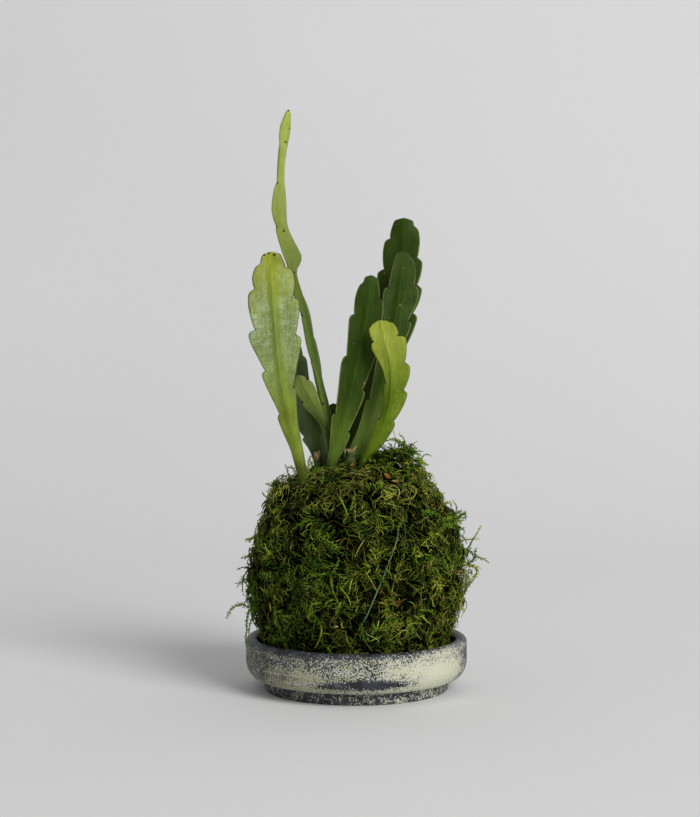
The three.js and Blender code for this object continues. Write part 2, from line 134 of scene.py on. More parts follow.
def smoothstep(value, low, high):
    """0 below low, 1 above high, and a smooth rise between them."""
    share = np.clip((value - low) / (high - low), 0, 1)
    return share * share * (3 - 2 * share)


def lumps(points, size, seed):
    """A smooth random height at each point, from -1 to 1: the mean of twelve waves in random directions,
    each about one size long."""
    random = np.random.default_rng(seed)
    directions = unit(random.normal(size=(12, 3))) * random.uniform(0.7, 1.6, (12, 1)) / size
    waves = np.cos(2 * np.pi * (points @ directions.T + random.random(12)))
    return np.clip(waves.mean(axis=-1) * 2, -1, 1)


def bells(points, places, start=0.0):
    """The start changed round each place by amount * exp(-(distance / reach)^2), which is a bell's shape.
    A place is its middle, its reach and its amount."""
    for middle, reach, amount in places:
        start = start + amount * np.exp(-((np.linalg.norm(points - np.array(middle), axis=-1) / reach) ** 2))
    return start


# %% [markdown]
# ## A skin over rings
# Stems, threads and moss strands are all the same kind of surface: rings of points along a path, closed by
# one point at each end. Only the shape of the rings changes.

# %% A skin over rings
def quad_faces(low, low_after, high, high_after):
    """Two triangles for each field of a grid, from the numbers of the points at its four corners."""
    halves = [[low, low_after, high], [low_after, high_after, high]]
    return np.concatenate([np.stack(half, axis=-1).reshape(-1, 3) for half in halves])


def ring_faces(rings, sides):
    """The triangles of one closed skin. Point 0 closes the start, then come the rings, and the last point
    closes the end. Each ring runs anticlockwise when seen from the end, so the faces point outwards."""
    ring = 1 + np.arange(rings * sides).reshape(rings, sides)
    after = np.roll(ring, -1, axis=1)
    start = np.stack([np.zeros(sides, int), after[0], ring[0]], axis=-1)
    end = np.stack([np.full(sides, 1 + rings * sides), ring[-1], after[-1]], axis=-1)
    return np.concatenate([start, quad_faces(ring[:-1], after[:-1], ring[1:], after[1:]), end])


def closed_rings(start, rings, end):
    """Points of one skin in the order that ring_faces reads: the start, all the rings, and the end."""
    return np.concatenate([start[None], rings.reshape(-1, 3), end[None]])


def strands(lines, radii, across=None, sides=3, flat=1.0):
    """Many thin strands at once. lines holds each strand's stations, with its two ends first and last, and
    radii the radius at the stations between them. At each station two directions across the strand's own
    direction carry an ellipse of points: centre + radius * (cos angle * one + flat * sin angle * other).
    Returns the points, the triangles, and the station that each point of one strand belongs to."""
    count, stations = lines.shape[:2]
    along = unit(np.gradient(lines, axis=1))
    if across is None:
        least = np.abs(along.mean(axis=1)).argmin(axis=1)
        across = np.cross(along, np.eye(3)[least][:, None])
    across = unit(np.broadcast_to(across, along.shape))
    other = np.cross(along, across)
    angles = full_turn(sides)[:, None]
    circle = np.cos(angles) * across[:, 1:-1, None] + flat * np.sin(angles) * other[:, 1:-1, None]
    rings = lines[:, 1:-1, None] + radii[..., None, None] * circle
    points = np.concatenate([lines[:, :1], rings.reshape(count, -1, 3), lines[:, -1:]], axis=1)
    faces = ring_faces(stations - 2, sides)
    triangles = faces[None] + points.shape[1] * np.arange(count)[:, None, None]
    station = np.concatenate([[0], np.repeat(np.arange(1, stations - 1), sides), [stations - 1]])
    return points.reshape(-1, 3), triangles.reshape(-1, 3), station


# %% [markdown]
# ## Shader helpers
# A material is a small network of nodes. These helpers add one node at a time and join its inputs, so that
# each material below reads like a recipe.

# %% Shader helpers
def linear(red, green, blue):
    """A colour as seen on screen, 0 to 255, as the linear light that shaders calculate with."""
    shown = np.array([red, green, blue]) / 255
    light = np.where(shown <= 0.04045, shown / 12.92, ((shown + 0.055) / 1.055) ** 2.4)
    return (*light.tolist(), 1.0)


def connect(tree, inputs, sockets):
    """Sets sockets by their names or numbers, each to a value or to another node's output."""
    for key, value in dict(inputs).items():
        if isinstance(value, bpy.types.NodeSocket):
            tree.links.new(value, sockets[key])
        else:
            sockets[key].default_value = value


def node(tree, kind, inputs=(), **settings):
    """Adds one node with its settings, and connects its inputs."""
    made = tree.nodes.new(kind)
    for key, value in settings.items():
        setattr(made, key, value)
    connect(tree, inputs, made.inputs)
    return made


def mix(tree, factor, first, second, blend="MIX"):
    """A colour between two others: the first at factor 0, and the second at 1."""
    inputs = {0: factor, 6: first, 7: second}
    return node(tree, "ShaderNodeMix", inputs, data_type="RGBA", blend_type=blend).outputs[2]


def maths(tree, operation, first, *others):
    """One value from several: the operation joins the next one to what the ones before it gave."""
    for other in others:
        first = node(tree, "ShaderNodeMath", {0: first, 1: other}, operation=operation).outputs[0]
    return first


def plus(tree, *values):
    """The sum of all values."""
    return maths(tree, "ADD", *values)


def times(tree, *values):
    """The product of all values."""
    return maths(tree, "MULTIPLY", *values)


def scaled(tree, value, amount):
    """A mask from 0 to 1 as a change of half the amount both ways."""
    return times(tree, maths(tree, "SUBTRACT", value, 0.5), amount)


def opposite(tree, mask):
    """0 where the mask is 1, and 1 where it is 0."""
    return maths(tree, "SUBTRACT", 1.0, mask)


def fade(tree, value, low, high, start=0.0, end=1.0):
    """Start below low, end above high, and a smooth change between them."""
    inputs = {0: value, 1: low, 2: high, 3: start, 4: end}
    return node(tree, "ShaderNodeMapRange", inputs, interpolation_type="SMOOTHSTEP").outputs[0]


def shaded(tree, colour, light):
    """The colour made lighter or darker: each of its three parts times the same light."""
    grey = node(tree, "ShaderNodeCombineColor", {0: light, 1: light, 2: light}).outputs[0]
    return mix(tree, 1.0, colour, grey, "MULTIPLY")


def noise(tree, place, size, detail=2.0, rough=0.5, distortion=0.0):
    """Soft random patches about one size across, in millimetres, from 0 to 1."""
    scale = 1 / (size * MM)
    inputs = {"Vector": place, "Scale": scale, "Detail": detail, "Roughness": rough, "Distortion": distortion}
    return node(tree, "ShaderNodeTexNoise", inputs).outputs[0]


def object_place(tree, stretch=(1, 1, 1)):
    """The place on the piece in metres, with each axis stretched."""
    place = node(tree, "ShaderNodeTexCoord").outputs["Object"]
    return node(tree, "ShaderNodeMapping", {"Vector": place, "Scale": stretch}).outputs[0]


def attribute(tree, name):
    """The number that the mesh carries at each point under this name."""
    return node(tree, "ShaderNodeAttribute", attribute_name=name).outputs["Fac"]


def new_material(name):
    """An empty material with its shader and output, ready for the nodes of a recipe."""
    material = bpy.data.materials.new(name)
    material.use_nodes = True
    tree = material.node_tree
    tree.nodes.clear()
    shader = node(tree, "ShaderNodeBsdfPrincipled")
    node(tree, "ShaderNodeOutputMaterial", {"Surface": shader.outputs[0]})
    return material, tree, shader


def new_group(name, values, colours, outputs):
    """A node group with named inputs, first values and then colours, and with named outputs."""
    tree = bpy.data.node_groups.new(name, "ShaderNodeTree")
    for keys, kind in ((values, "NodeSocketFloat"), (colours, "NodeSocketColor")):
        for key in keys:
            tree.interface.new_socket(key, in_out="INPUT", socket_type=kind)
    for key in outputs:
        kind = "NodeSocketColor" if key == "Color" else "NodeSocketFloat"
        tree.interface.new_socket(key, in_out="OUTPUT", socket_type=kind)
    return tree, tree.nodes.new("NodeGroupInput").outputs, tree.nodes.new("NodeGroupOutput").inputs


def finish_shader(tree, shader, inputs, height=None, depth=0.1, strength=1.0):
    """Sets the shader's inputs, and bends its normal by a height map whose full step is depth millimetres."""
    if height is not None:
        bump = {"Height": height, "Distance": depth * MM, "Strength": strength}
        inputs = {**inputs, "Normal": node(tree, "ShaderNodeBump", bump).outputs[0]}
    connect(tree, inputs, shader.inputs)


# %% [markdown]
# ## The saucer's shape
# The saucer was thrown on a wheel: a foot, a step out, a rounded corner, an upright wall and a thick rim. A
# wheel makes a surface of revolution, so its outline is carried round the vertical axis. The outline is the
# solid's own, with more points on its curves, and the edges of the foot and the step are softly worn.

# %% The saucer's shape
SAUCER = {
    "radius": 60,
    "foot_radius": 50,
    "foot_height": 6.5,
    "step_radius": 53,
    "corner_height": 9.5,
    "rim_thickness": 6.5,
    "rim_round": 2.5,
    "height": 28.3,
    "floor": 7,
    "floor_round": 5,
}
EDGE_WEAR = 0.7  # radius of the worn edges of the foot
SAUCER_SIDES = 200
WALL_WAVER = 0.05
UNDER_RINGS, FLOOR_RINGS = (12, 24, 36, 44), (36, 24, 12)  # radii of the points on the flat stretches


def arc(centre, radii, start, end, steps):
    """Points of an ellipse's arc: centre + radii * (cos angle, sin angle), angles in degrees."""
    angles = np.radians(np.linspace(start, end, steps + 1))
    return np.array(centre) + np.array(radii) * np.stack([np.cos(angles), np.sin(angles)], axis=-1)


def saucer_outline():
    """The outline as (radius, height) from the underside's centre round the outside to the floor's centre.
    An upright stretch keeps clear of the round ones beside it."""
    d, wear = SAUCER, EDGE_WEAR
    inner = d["radius"] - d["rim_thickness"]
    rim_base = d["height"] - d["rim_round"]
    corner = (d["step_radius"], d["foot_height"] + d["corner_height"])
    rim = (inner + d["rim_thickness"] / 2, rim_base)
    bowl = (inner - d["floor_round"], d["floor"] + d["floor_round"])

    def upright(radius, low, high, steps):
        return np.array([[radius, height] for height in np.linspace(low, high, steps)])

    line = [
        np.array([[radius, 0] for radius in UNDER_RINGS]),
        arc((d["foot_radius"] - wear, wear), (wear, wear), -90, 0, 4),
        upright(d["foot_radius"], 1.6, d["foot_height"] - 0.6, 5),
        arc((d["foot_radius"] + wear, d["foot_height"] - wear), (wear, wear), 180, 90, 3)[:-1],
        arc(corner, (d["radius"] - d["step_radius"], d["corner_height"]), -90, 0, 14),
        upright(d["radius"], 17.5, rim_base - 1, 7),
        arc(rim, (d["rim_thickness"] / 2, d["rim_round"]), 0, 180, 14),
        upright(inner, rim_base - 2, bowl[1] + 2, 5),
        arc(bowl, (d["floor_round"], d["floor_round"]), 0, -90, 6),
        np.array([[radius, d["floor"]] for radius in FLOOR_RINGS]),
    ]
    return np.concatenate(line)


def saucer_surface():
    """The outline carried round the axis: (radius * cos turn, radius * sin turn, height). The wall wavers by
    a few hundredths of a millimetre, as clay does under the fingers, and the foot doesn't."""
    outline = saucer_outline()
    turns = full_turn(SAUCER_SIDES)
    radius, height = outline[:, :1], outline[:, 1:]
    wavering = radius + WALL_WAVER * np.cos(3 * turns + 1) * smoothstep(radius, 45, 52)
    rings = np.broadcast_arrays(wavering * np.cos(turns), wavering * np.sin(turns), height)
    start, end = np.array([0, 0, 0]), np.array([0, 0, SAUCER["floor"]])
    points = closed_rings(start, np.stack(rings, axis=-1), end)
    return points, ring_faces(len(outline), SAUCER_SIDES)


# %% [markdown]
# ## The saucer's glaze
# Two glazes lie over each other: a slate blue one below, and a cream one that is wiped and sprayed over it.
# Where the cream is thin it breaks into fine worm-like specks. So one attribute says how much cream lies at
# each point, as broad soft patches round the wall, and the material compares it with a fine noise: cream
# wins where the noise is lower. The foot shows a little bare terracotta at its lowest edge.

# %% The saucer's glaze
# Places with more cream, or with less where the last number is negative: degrees round from the front,
# height, half width in degrees, half height, and how much
CREAM_PLACES = [
    (-27, 14.5, 12, 4.5, 0.2),
    (-52, 13, 16, 5, 0.03),
    (46, 15.5, 24, 6.6, 0.36),
    (40, 21.5, 26, 3.5, 0.09),
    (7, 12.5, 18, 2.1, -0.42),
    (-16, 11.5, 9, 1.3, -0.12),
    (-28, 8.4, 30, 1.1, 0.12),
    (34, 8.6, 30, 1.4, 0.18),
    (46, 3.5, 22, 3, 0.10),
    (66, 26.8, 36, 2.0, 0.24),
    (80, 18, 13, 9, -0.2),
    (-60, 17, 20, 9, -0.06),
    (-88, 18, 14, 9, -0.06),
    (118, 16, 22, 5, 0.20),
    (158, 12, 20, 2.2, -0.24),
    (-128, 15, 26, 5, 0.18),
    (-168, 19, 24, 4, 0.10),
]
CREAM_SHARE = 0.49  # where the noise is lower than this, cream lies over the slate
INSIDE_SHARE = 0.40
# How much less cream there is near the rim, on the upper wall and on the foot, and the heights between
# which that changes
RIM_LESS, UPPER_LESS, FOOT_LESS = (0.18, 24.6, 27.2), (0.02, 18, 24), (0.12, 6.0, 7.2)
INSIDE_FROM = (53.4, 54.2)  # the radii between which the wall changes to the inside
STEP_HEIGHT = 6.9
BREAK_WIDTH = 0.012  # how sharply the cream breaks off at a speck's edge
# The heights between which the foot's coarser dabs end, and its bare clay
DABS_END, CLAY_END = np.array([6.0, 7.0]) * MM, np.array([0.9, 1.4]) * MM
# Where, from the left to the right, the cream changes from a painted shaded tint to a painted lit one
LIT_SIDE = np.array([-35, 25]) * MM


def cream_amount(points):
    """How much cream lies at each point: an even share on the wall, soft bell-shaped changes on top of it,
    and less on the rim, on the foot and inside."""
    turn = np.degrees(np.arctan2(points[:, 0], -points[:, 1]))
    radius, height = np.hypot(points[:, 0], points[:, 1]), points[:, 2]
    cream = CREAM_SHARE + 0.03 * lumps(points * [1, 1, 2.5], 26, 3)
    for at, level, wide, tall, amount in CREAM_PLACES:
        away = (turn - at + 180) % 360 - 180
        cream = cream + amount * np.exp(-((away / wide) ** 2) - ((height - level) / tall) ** 2)
    for less, low, high in (RIM_LESS, UPPER_LESS):
        cream = cream - less * smoothstep(height, low, high)
    less, low, high = FOOT_LESS
    cream = cream - less * (1 - smoothstep(height, low, high))
    inside = 1 - smoothstep(radius, *INSIDE_FROM)
    return np.where(height > STEP_HEIGHT, cream * (1 - inside) + INSIDE_SHARE * inside, cream)


def glaze_material():
    """Cream lies over the slate where its amount, with its dabs, blotches and wipes, is over the noise."""
    material, tree, shader = new_material("speckled_glaze")
    place = object_place(tree)
    from_left, _, height = node(tree, "ShaderNodeSeparateXYZ", {0: place}).outputs
    worms = noise(tree, place, 0.67, detail=0.0, distortion=0.7)
    fine = noise(tree, place, 0.4, detail=1.0)
    patches = noise(tree, object_place(tree, (1, 1, 2.2)), 9, detail=3)
    wiped = noise(tree, object_place(tree, (1, 1, 9)), 16, detail=4, rough=0.6)
    coarse = noise(tree, place, 3.6, detail=3, rough=0.6, distortion=0.8)
    broken = plus(tree, times(tree, worms, 0.85), times(tree, fine, 0.15))
    dabs = scaled(tree, coarse, fade(tree, height, *DABS_END, 0.9, 0))
    streaks = plus(tree, scaled(tree, patches, 0.32), scaled(tree, wiped, 0.16))
    level = plus(tree, plus(tree, attribute(tree, "cream"), dabs), streaks)
    over = maths(tree, "SUBTRACT", level, broken)
    cream_mask = fade(tree, over, -BREAK_WIDTH, BREAK_WIDTH)

    slate = mix(tree, fade(tree, patches, 0.35, 0.65), linear(24, 26, 33), linear(50, 54, 64))
    # Painted light and shade: the cream is darker on the left and lighter on the right, in its thin and thick
    # parts alike
    lit_side = fade(tree, from_left, *LIT_SIDE)
    warm_cream_with_painted_light = mix(tree, lit_side, linear(146, 144, 110), linear(188, 187, 160))
    thin_cream = mix(tree, fade(tree, wiped, 0.3, 0.7), linear(192, 194, 182), warm_cream_with_painted_light)
    thick_cream_with_painted_light = mix(tree, lit_side, linear(162, 160, 122), linear(207, 209, 182))
    cream = mix(tree, fade(tree, over, 0.1, 0.3), thin_cream, thick_cream_with_painted_light)
    glaze = mix(tree, cream_mask, slate, cream)
    bare = fade(tree, plus(tree, height, times(tree, fine, 1.2 * MM)), *CLAY_END, 1, 0)
    chipped = times(tree, bare, fade(tree, patches, 0.52, 0.6))
    clay = mix(tree, fine, linear(96, 60, 50), linear(128, 88, 72))
    rough = plus(tree, fade(tree, cream_mask, 0, 1, 0.44, 0.62), times(tree, fine, 0.12))
    relief = plus(tree, cream_mask, times(tree, fine, 0.5))
    looks = {"Base Color": mix(tree, chipped, glaze, clay), "Roughness": rough, "IOR": 1.5}
    finish_shader(tree, shader, looks, relief, depth=0.07, strength=0.8)
    return material


saucer_points, saucer_faces = saucer_surface()
glazed = (saucer_points, saucer_faces, {"cream": cream_amount(saucer_points)})
build_piece("glazed_saucer", glazed, glaze_material(), ["saucer"])

# %% [markdown]
# ## The ball
# The moss and the soil share one form: a superellipsoid, which is a sphere pushed a little towards a box. A
# point in any direction from the centre lies where (across / half width)^n + (height / half height)^n = 1,
# and what would lie below the saucer's floor is pressed flat. The same rule gives the direction straight
# out of the surface, which every moss shoot grows from.

# %% The ball
BALL = {"centre": 62, "half_width": 54, "half_height": 58, "squareness": 2.6, "rest": 7.3}
GOLDEN_TURN = math.pi * (3 - math.sqrt(5))


def ball_points(directions, shrink=0.0):
    """Points of the superellipsoid in the given directions, on a surface that lies shrink deeper."""
    n = BALL["squareness"]
    shrink = np.asarray(shrink, float)
    across = np.hypot(directions[..., 0], directions[..., 1]) / (BALL["half_width"] - shrink)
    upright = np.abs(directions[..., 2]) / (BALL["half_height"] - shrink)
    points = directions * ((across**n + upright**n) ** (-1 / n))[..., None]
    points[..., 2] = np.maximum(points[..., 2] + BALL["centre"], BALL["rest"])
    return points


def ball_normals(points):
    """The directions straight out of the surface: the slope of the rule above in x, y and z."""
    n = BALL["squareness"]
    radius = np.hypot(points[..., 0], points[..., 1])
    height = points[..., 2] - BALL["centre"]
    across = radius ** (n - 2) / BALL["half_width"] ** n
    upright = np.abs(height) ** (n - 2) / BALL["half_height"] ** n
    slope = np.stack([points[..., 0] * across, points[..., 1] * across, height * upright], axis=-1)
    return unit(slope)


def spiral_directions(count, seed):
    """Directions spread evenly over a sphere: equal steps in height and a golden turn between neighbours,
    each moved a little at random."""
    random = np.random.default_rng(seed)
    height = 1 - 2 * (np.arange(count) + random.random(count)) / count
    turn = GOLDEN_TURN * np.arange(count) + random.normal(0, 0.6, count)
    spread = np.sqrt(1 - height**2)
    return np.stack([spread * np.cos(turn), spread * np.sin(turn), height], axis=-1)


# %% [markdown]
# ## Soil
# The soil ball hides under the moss, and a little of it can show between the stems. Its solid has the right
# shape already, so it stays and only gets its finish: dark crumbs of peat with paler fibres.

# %% Soil
def soil_material():
    """Dark crumbs with paler fibres."""
    material, tree, shader = new_material("dark_peat")
    place = object_place(tree)
    crumbs = noise(tree, place, 2.2, detail=5, rough=0.7)
    fibres = noise(tree, object_place(tree, (1, 1, 0.2)), 0.6, detail=2)
    colour = mix(tree, fade(tree, crumbs, 0.35, 0.65), linear(20, 15, 9), linear(62, 46, 30))
    colour = mix(tree, fade(tree, fibres, 0.66, 0.72), colour, linear(96, 76, 50))
    finish_shader(tree, shader, {"Base Color": colour, "Roughness": 0.95}, crumbs, depth=1.2)
    return material


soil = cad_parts["soil_ball"]
soil.data.materials.clear()
soil.data.materials.append(soil_material())
print("soil ball keeps its solid:", len(soil.data.polygons), "faces")

# %% [markdown]
# ## The stems' shape
# An orchid cactus has no leaves: its flat green stems do their work. Each one is a round stalk at its foot
# and widens into two thin wings beside a midrib. The wings' edges are scalloped: a lobe swells slowly,
# rounds over and drops into a notch, where the areole sits. So a stem is a section carried along a spine.
# The spine, the half widths and the notches follow the solid's, but were set closer to the photo by a
# millimetre or so and with more half widths, and the rows lie much closer than the solid's.

# %% The stems' shape
# For each stem: the kind of its skin, how far its wings wave and how far they cup towards the front, its
# turn about the vertical as (height, degrees), the heights of its notches on the left and on the right, the
# points of its spine, and its half widths as (height, left, right)
STEMS = {
    "stem_broad_pale": {
        "finish": "pale_stem", "wave": 0.9, "cup": 0.8,
        "turn": [(94, -6)],
        "left": [151, 174, 195.5, 216.5, 229.3],
        "right": [163.7, 191.3, 210.7, 226.7],
        "spine": [
            (-23, -14, 94), (-27.5, -18, 116), (-33, -22, 138), (-39.5, -26, 170), (-43, -28, 208),
            (-45, -28, 235.1),
        ],
        "widths": [
            (94, 2.8, 2.4), (118, 4.6, 2.5), (123, 4.8, 2.9), (128, 4.7, 3.8), (133, 4.6, 4.2),
            (138, 5.1, 4.7), (146.5, 6.1, 4.9), (153, 6.8, 5.3), (161.3, 8.1, 6.2), (166, 8.9, 7.8),
            (170, 9.6, 9), (190, 15.2, 13.2), (209, 14.4, 13.6), (221, 12.4, 12.6), (226.5, 9.4, 10.4),
            (230.5, 6.8, 8), (233.5, 5.4, 6), (235, 4.6, 4.6), (236, 3.8, 3.6),
        ],
    },
    "stem_tall_thin": {
        "finish": "mid_stem", "wave": 0.4, "cup": 0.3,
        "turn": [
            (98, 80), (160, 76), (180, 71), (208, 72), (226, 66), (234, 58), (258, 60), (275, 80),
            (292, 78), (304, 55),
        ],
        "left": [155, 178, 202, 225.4, 249.6, 272.5],
        "right": [166, 190, 214, 226.5, 295],
        "spine": [
            (-13, -5, 98), (-14, -6, 122), (-14.5, -6, 140), (-20.8, -6, 170), (-28.4, -4, 205),
            (-33.7, -2.5, 222), (-35.3, -2, 232), (-41, -0.5, 256), (-40.8, 0, 273), (-39.8, 0, 291),
            (-36.3, 0, 312),
        ],
        "widths": [
            (98, 2.4, 2.4), (140, 2.8, 2.8), (160, 5, 5), (190, 8, 8), (212, 7.6, 5), (218, 7.5, 2.8),
            (224, 7, 2.2), (227.6, 7, 6), (231, 7.4, 15.8), (235, 7.2, 11.4), (248, 6.5, 6), (254, 9.8, 6),
            (264, 10.2, 6.6), (280, 7, 7), (293, 7.4, 6.4), (302, 5, 5), (308, 3.2, 2.6), (312, 1.4, 1.2),
        ],
    },
    "side_stem": {
        "finish": "side_stem", "wave": 0.3, "cup": 0.6,
        "turn": [(124, 5)],
        "left": [158],
        "right": [166.5],
        "spine": [
            (-14.2, -6, 124), (-15.4, -6.6, 136), (-17.3, -8, 144.5), (-20.3, -9, 150),
            (-24.4, -10.5, 156.5), (-28.6, -11.5, 164), (-31.2, -12, 169.8),
        ],
        "widths": [
            (124, 2, 2), (138, 2.2, 2.4), (145, 2.6, 2.6), (150, 3.6, 3.4), (156.5, 5.2, 5.2), (162, 6, 6),
            (165.5, 5.4, 5.8), (168, 4, 4.8), (169.8, 1.4, 1.6),
        ],
    },
    "stem_dark_left": {
        "finish": "blue_stem", "wave": 0.5, "cup": -0.4,
        "turn": [(98, -12)],
        "left": [137.5, 166, 184],
        "right": [154, 179.1],
        "spine": [
            (-20, 2, 98), (-20.4, 3, 122), (-21.5, 5, 137), (-27, 7, 154), (-32.5, 10, 174), (-37, 12, 196),
        ],
        "widths": [
            (98, 2.2, 2.2), (118, 2.6, 4), (124, 3.5, 6.4), (130, 5.6, 8), (135, 8.4, 8), (138, 10, 8),
            (142, 11.2, 7.2), (149, 10.2, 5.8), (158, 7.6, 5.2), (168, 7, 5.6), (177, 7, 6.4),
            (186, 5.6, 5.2), (192, 3.6, 3.6), (196, 1.2, 1.2),
        ],
    },
    "stem_dark_front": {
        "finish": "front_stem", "wave": 0.7, "cup": 0.8,
        "turn": [(98, 8)],
        "left": [149, 179.4, 201.8, 219],
        "right": [141, 164, 190, 212],
        "spine": [
            (-15, -12, 98), (-13.3, -14, 123), (-10.6, -14, 132), (-6, -14, 150), (-0.8, -14, 172.5),
            (4.9, -12.5, 200), (8, -12, 223.2),
        ],
        "widths": [
            (98, 2.4, 2.4), (123, 3, 3), (132, 5, 4.6), (150, 7, 6.6), (172, 8.2, 8.8), (186, 8.4, 9.4),
            (200, 9.2, 9.8), (212, 7.6, 7.6), (218, 6, 5.4), (222, 4, 4.2), (224, 2.8, 3),
        ],
    },
    "stem_dark_tallest": {
        "finish": "dark_stem", "wave": 0.8, "cup": -0.6,
        "turn": [(98, -8)],
        "left": [185, 206, 226.6, 243.8],
        "right": [162, 183, 204.5, 219.2, 233.6, 250.8],
        "spine": [
            (-1, 9, 98), (0.4, 10, 122), (5, 10.5, 145), (10.8, 12, 163.5), (19, 13, 186),
            (23.4, 14, 210.5), (25.5, 14, 238), (26, 14, 254.9),
        ],
        "widths": [
            (98, 2.4, 2.4), (116, 3, 3), (123, 7.4, 5.6), (132, 12, 6.6), (145, 12.4, 6.6), (155, 9.4, 6.6),
            (165, 8, 6.8), (186, 10, 9.6), (210, 13.4, 12.2), (225, 13.6, 11.6), (238, 11.2, 10.4),
            (247, 9, 8.8), (252, 6.8, 7), (254.5, 5, 5.6), (255.5, 4, 4.4),
        ],
    },
    "stem_dark_right": {
        "finish": "right_stem", "wave": 0.6, "cup": 1.2,
        "turn": [(98, 12)],
        "left": [156, 180, 199, 216.6],
        "right": [148.7, 170, 185, 200.5, 219.3, 234.2],
        "spine": [
            (-5, -2, 98), (-3.4, -2, 122), (-0.7, -2, 130), (7.4, -2, 147), (12.8, -1, 164),
            (18.7, 1, 190.5), (23, 2, 215), (25.6, 2, 236.2),
        ],
        "widths": [
            (98, 2.4, 2.4), (116, 2.6, 2.8), (123, 2.8, 3.6), (131, 3.8, 4.8), (140, 4.8, 6.4),
            (152, 5.4, 6.8), (164, 5.4, 5.4), (177, 5.6, 5.6), (190, 6, 8.6), (200, 8.6, 9.6),
            (212, 9, 11.6), (221, 7.4, 9.4), (229, 6, 7.4), (234, 4.6, 5), (236.5, 3.4, 3.8),
            (237.5, 2.6, 3),
        ],
    },
    "stem_bright": {
        "finish": "bright_stem", "wave": 0.7, "cup": 1.0,
        "turn": [(98, -4)],
        "left": [147, 167, 189.5, 197.6],
        "right": [147.6, 163.2, 176.1, 189.5, 197.6],
        "spine": [
            (0, -6, 98), (3, -9.5, 122), (8.1, -13, 131.5), (13.6, -16, 144.5), (17.2, -19, 158),
            (17.8, -21, 171), (16.8, -22, 180), (14.5, -23, 188), (11.9, -23, 199.2),
        ],
        "widths": [
            (98, 2.4, 2.4), (122, 2.6, 2.8), (136, 3.6, 5.4), (144, 3, 6.6), (153, 2.8, 8.4), (162, 3, 9.6),
            (170, 3.2, 11), (179, 5.8, 10.8), (186, 7.6, 12.4), (192, 7.2, 10), (196, 6.4, 7.4),
            (199, 5.2, 5.4), (200, 4.4, 4.6),
        ],
    },
    "stem_short_dark": {
        "finish": "dark_stem", "wave": 0.3, "cup": 0.0,
        "turn": [(98, 0)],
        "left": [136],
        "right": [144],
        "spine": [
            (-7, 15, 98), (-8, 18, 122), (-10, 17, 139), (-12.8, 16, 153.5),
        ],
        "widths": [
            (98, 2.2, 2.2), (124, 2.6, 2.6), (139, 3.8, 3.8), (147, 5.4, 4.8), (151, 5.2, 4.4),
            (152.8, 4, 3.4), (153.5, 3, 2.6),
        ],
    },
}
STEM = {
    "stalk_half_width": 3,  # up to this half width a stem is a round stalk, and from the next on it is flat
    "flat_half_width": 6,
    "stalk": 5,  # thickness of the stalk, of the midrib, of a wing beside it and at its edge, and of the tip
    "rib": 4.2,
    "wing": 1.9,
    "edge": 1.1,
    "tip": 1.2,
    "rib_width": 2.1,
    "taper": 22,  # how far from its tip a stem begins to thin
    "tip_round": 1.6,  # and how far to close
    "tip_share": 0.93,  # how much of a quarter circle the closing takes
    "square": 7,  # how flat the section of the wings is
    "wave_length": 31,
    "wave_rise": 1.6,
    "buried": 0.3,
    "point": 0.4,
}
LOBE = {
    "notch": 0.23,  # how deep a notch is, as a share of the half width
    "length": 20,  # of the first lobe and of the last
    "top": 0.83,  # where in the lobe its top lies
    "arched": 0.7,  # how much of the swelling is a quarter sine, and how much a line
    "straight": 0.3,
    "round": 2.2,
    "bite": 0.035,
    "bite_reach": 0.7,
}
CURVE_STEPS = 60  # between two knots of a smooth path
ROW_STEP = 0.9
WIDTH_SOFT = 3  # rows over which the half widths are evened out
FACE_STEPS = 20  # points across each face of a stem
AREOLE = 0.75  # radius of the dark spot in a notch
MOSS_TOP = 118


def smooth_path(knots, step, closed=False):
    """A smooth curve through all knots at equal steps, and its directions. Between two knots it is a cubic
    whose slopes follow the neighbours, with each knot's time set by the square root of the distance, so the
    curve never loops. Returns (points, directions)."""
    knots = np.array(knots, float)
    if closed:
        knots = np.concatenate([knots[-1:], knots, knots[:2]])
    else:
        knots = np.concatenate([[2 * knots[0] - knots[1]], knots, [2 * knots[-1] - knots[-2]]])
    spans = np.sqrt(np.linalg.norm(np.diff(knots, axis=0), axis=1))[:, None]
    before, during, after = spans[:-2], spans[1:-1], spans[2:]
    k0, k1, k2, k3 = knots[:-3], knots[1:-2], knots[2:-1], knots[3:]
    leave = ((k1 - k0) / before - (k2 - k0) / (before + during) + (k2 - k1) / during) * during
    reach = ((k2 - k1) / during - (k3 - k1) / (during + after) + (k3 - k2) / after) * during
    time = np.linspace(0, 1, CURVE_STEPS, endpoint=False)[:, None, None]
    curve = (
        (2 * time**3 - 3 * time**2 + 1) * k1
        + (time**3 - 2 * time**2 + time) * leave
        + (3 * time**2 - 2 * time**3) * k2
        + (time**3 - time**2) * reach
    )
    curve = np.concatenate([curve.transpose(1, 0, 2).reshape(-1, 3), k2[-1:]])
    lengths = np.concatenate([[0], np.cumsum(np.linalg.norm(np.diff(curve, axis=0), axis=1))])
    places = np.linspace(0, lengths[-1], max(2, round(lengths[-1] / step)) + 1)
    points = np.stack([np.interp(places, lengths, curve[:, axis]) for axis in range(3)], axis=-1)
    return points, unit(np.gradient(points, axis=0))


def softened(values, reach):
    """Each value becomes the mean of its neighbours, weighted by a bell of the given reach in rows."""
    offsets = np.arange(-3 * reach, 3 * reach + 1)
    weights = np.exp(-0.5 * (offsets / reach) ** 2)
    padded = np.pad(values, 3 * reach, mode="edge")
    return np.convolve(padded, weights / weights.sum(), mode="valid")


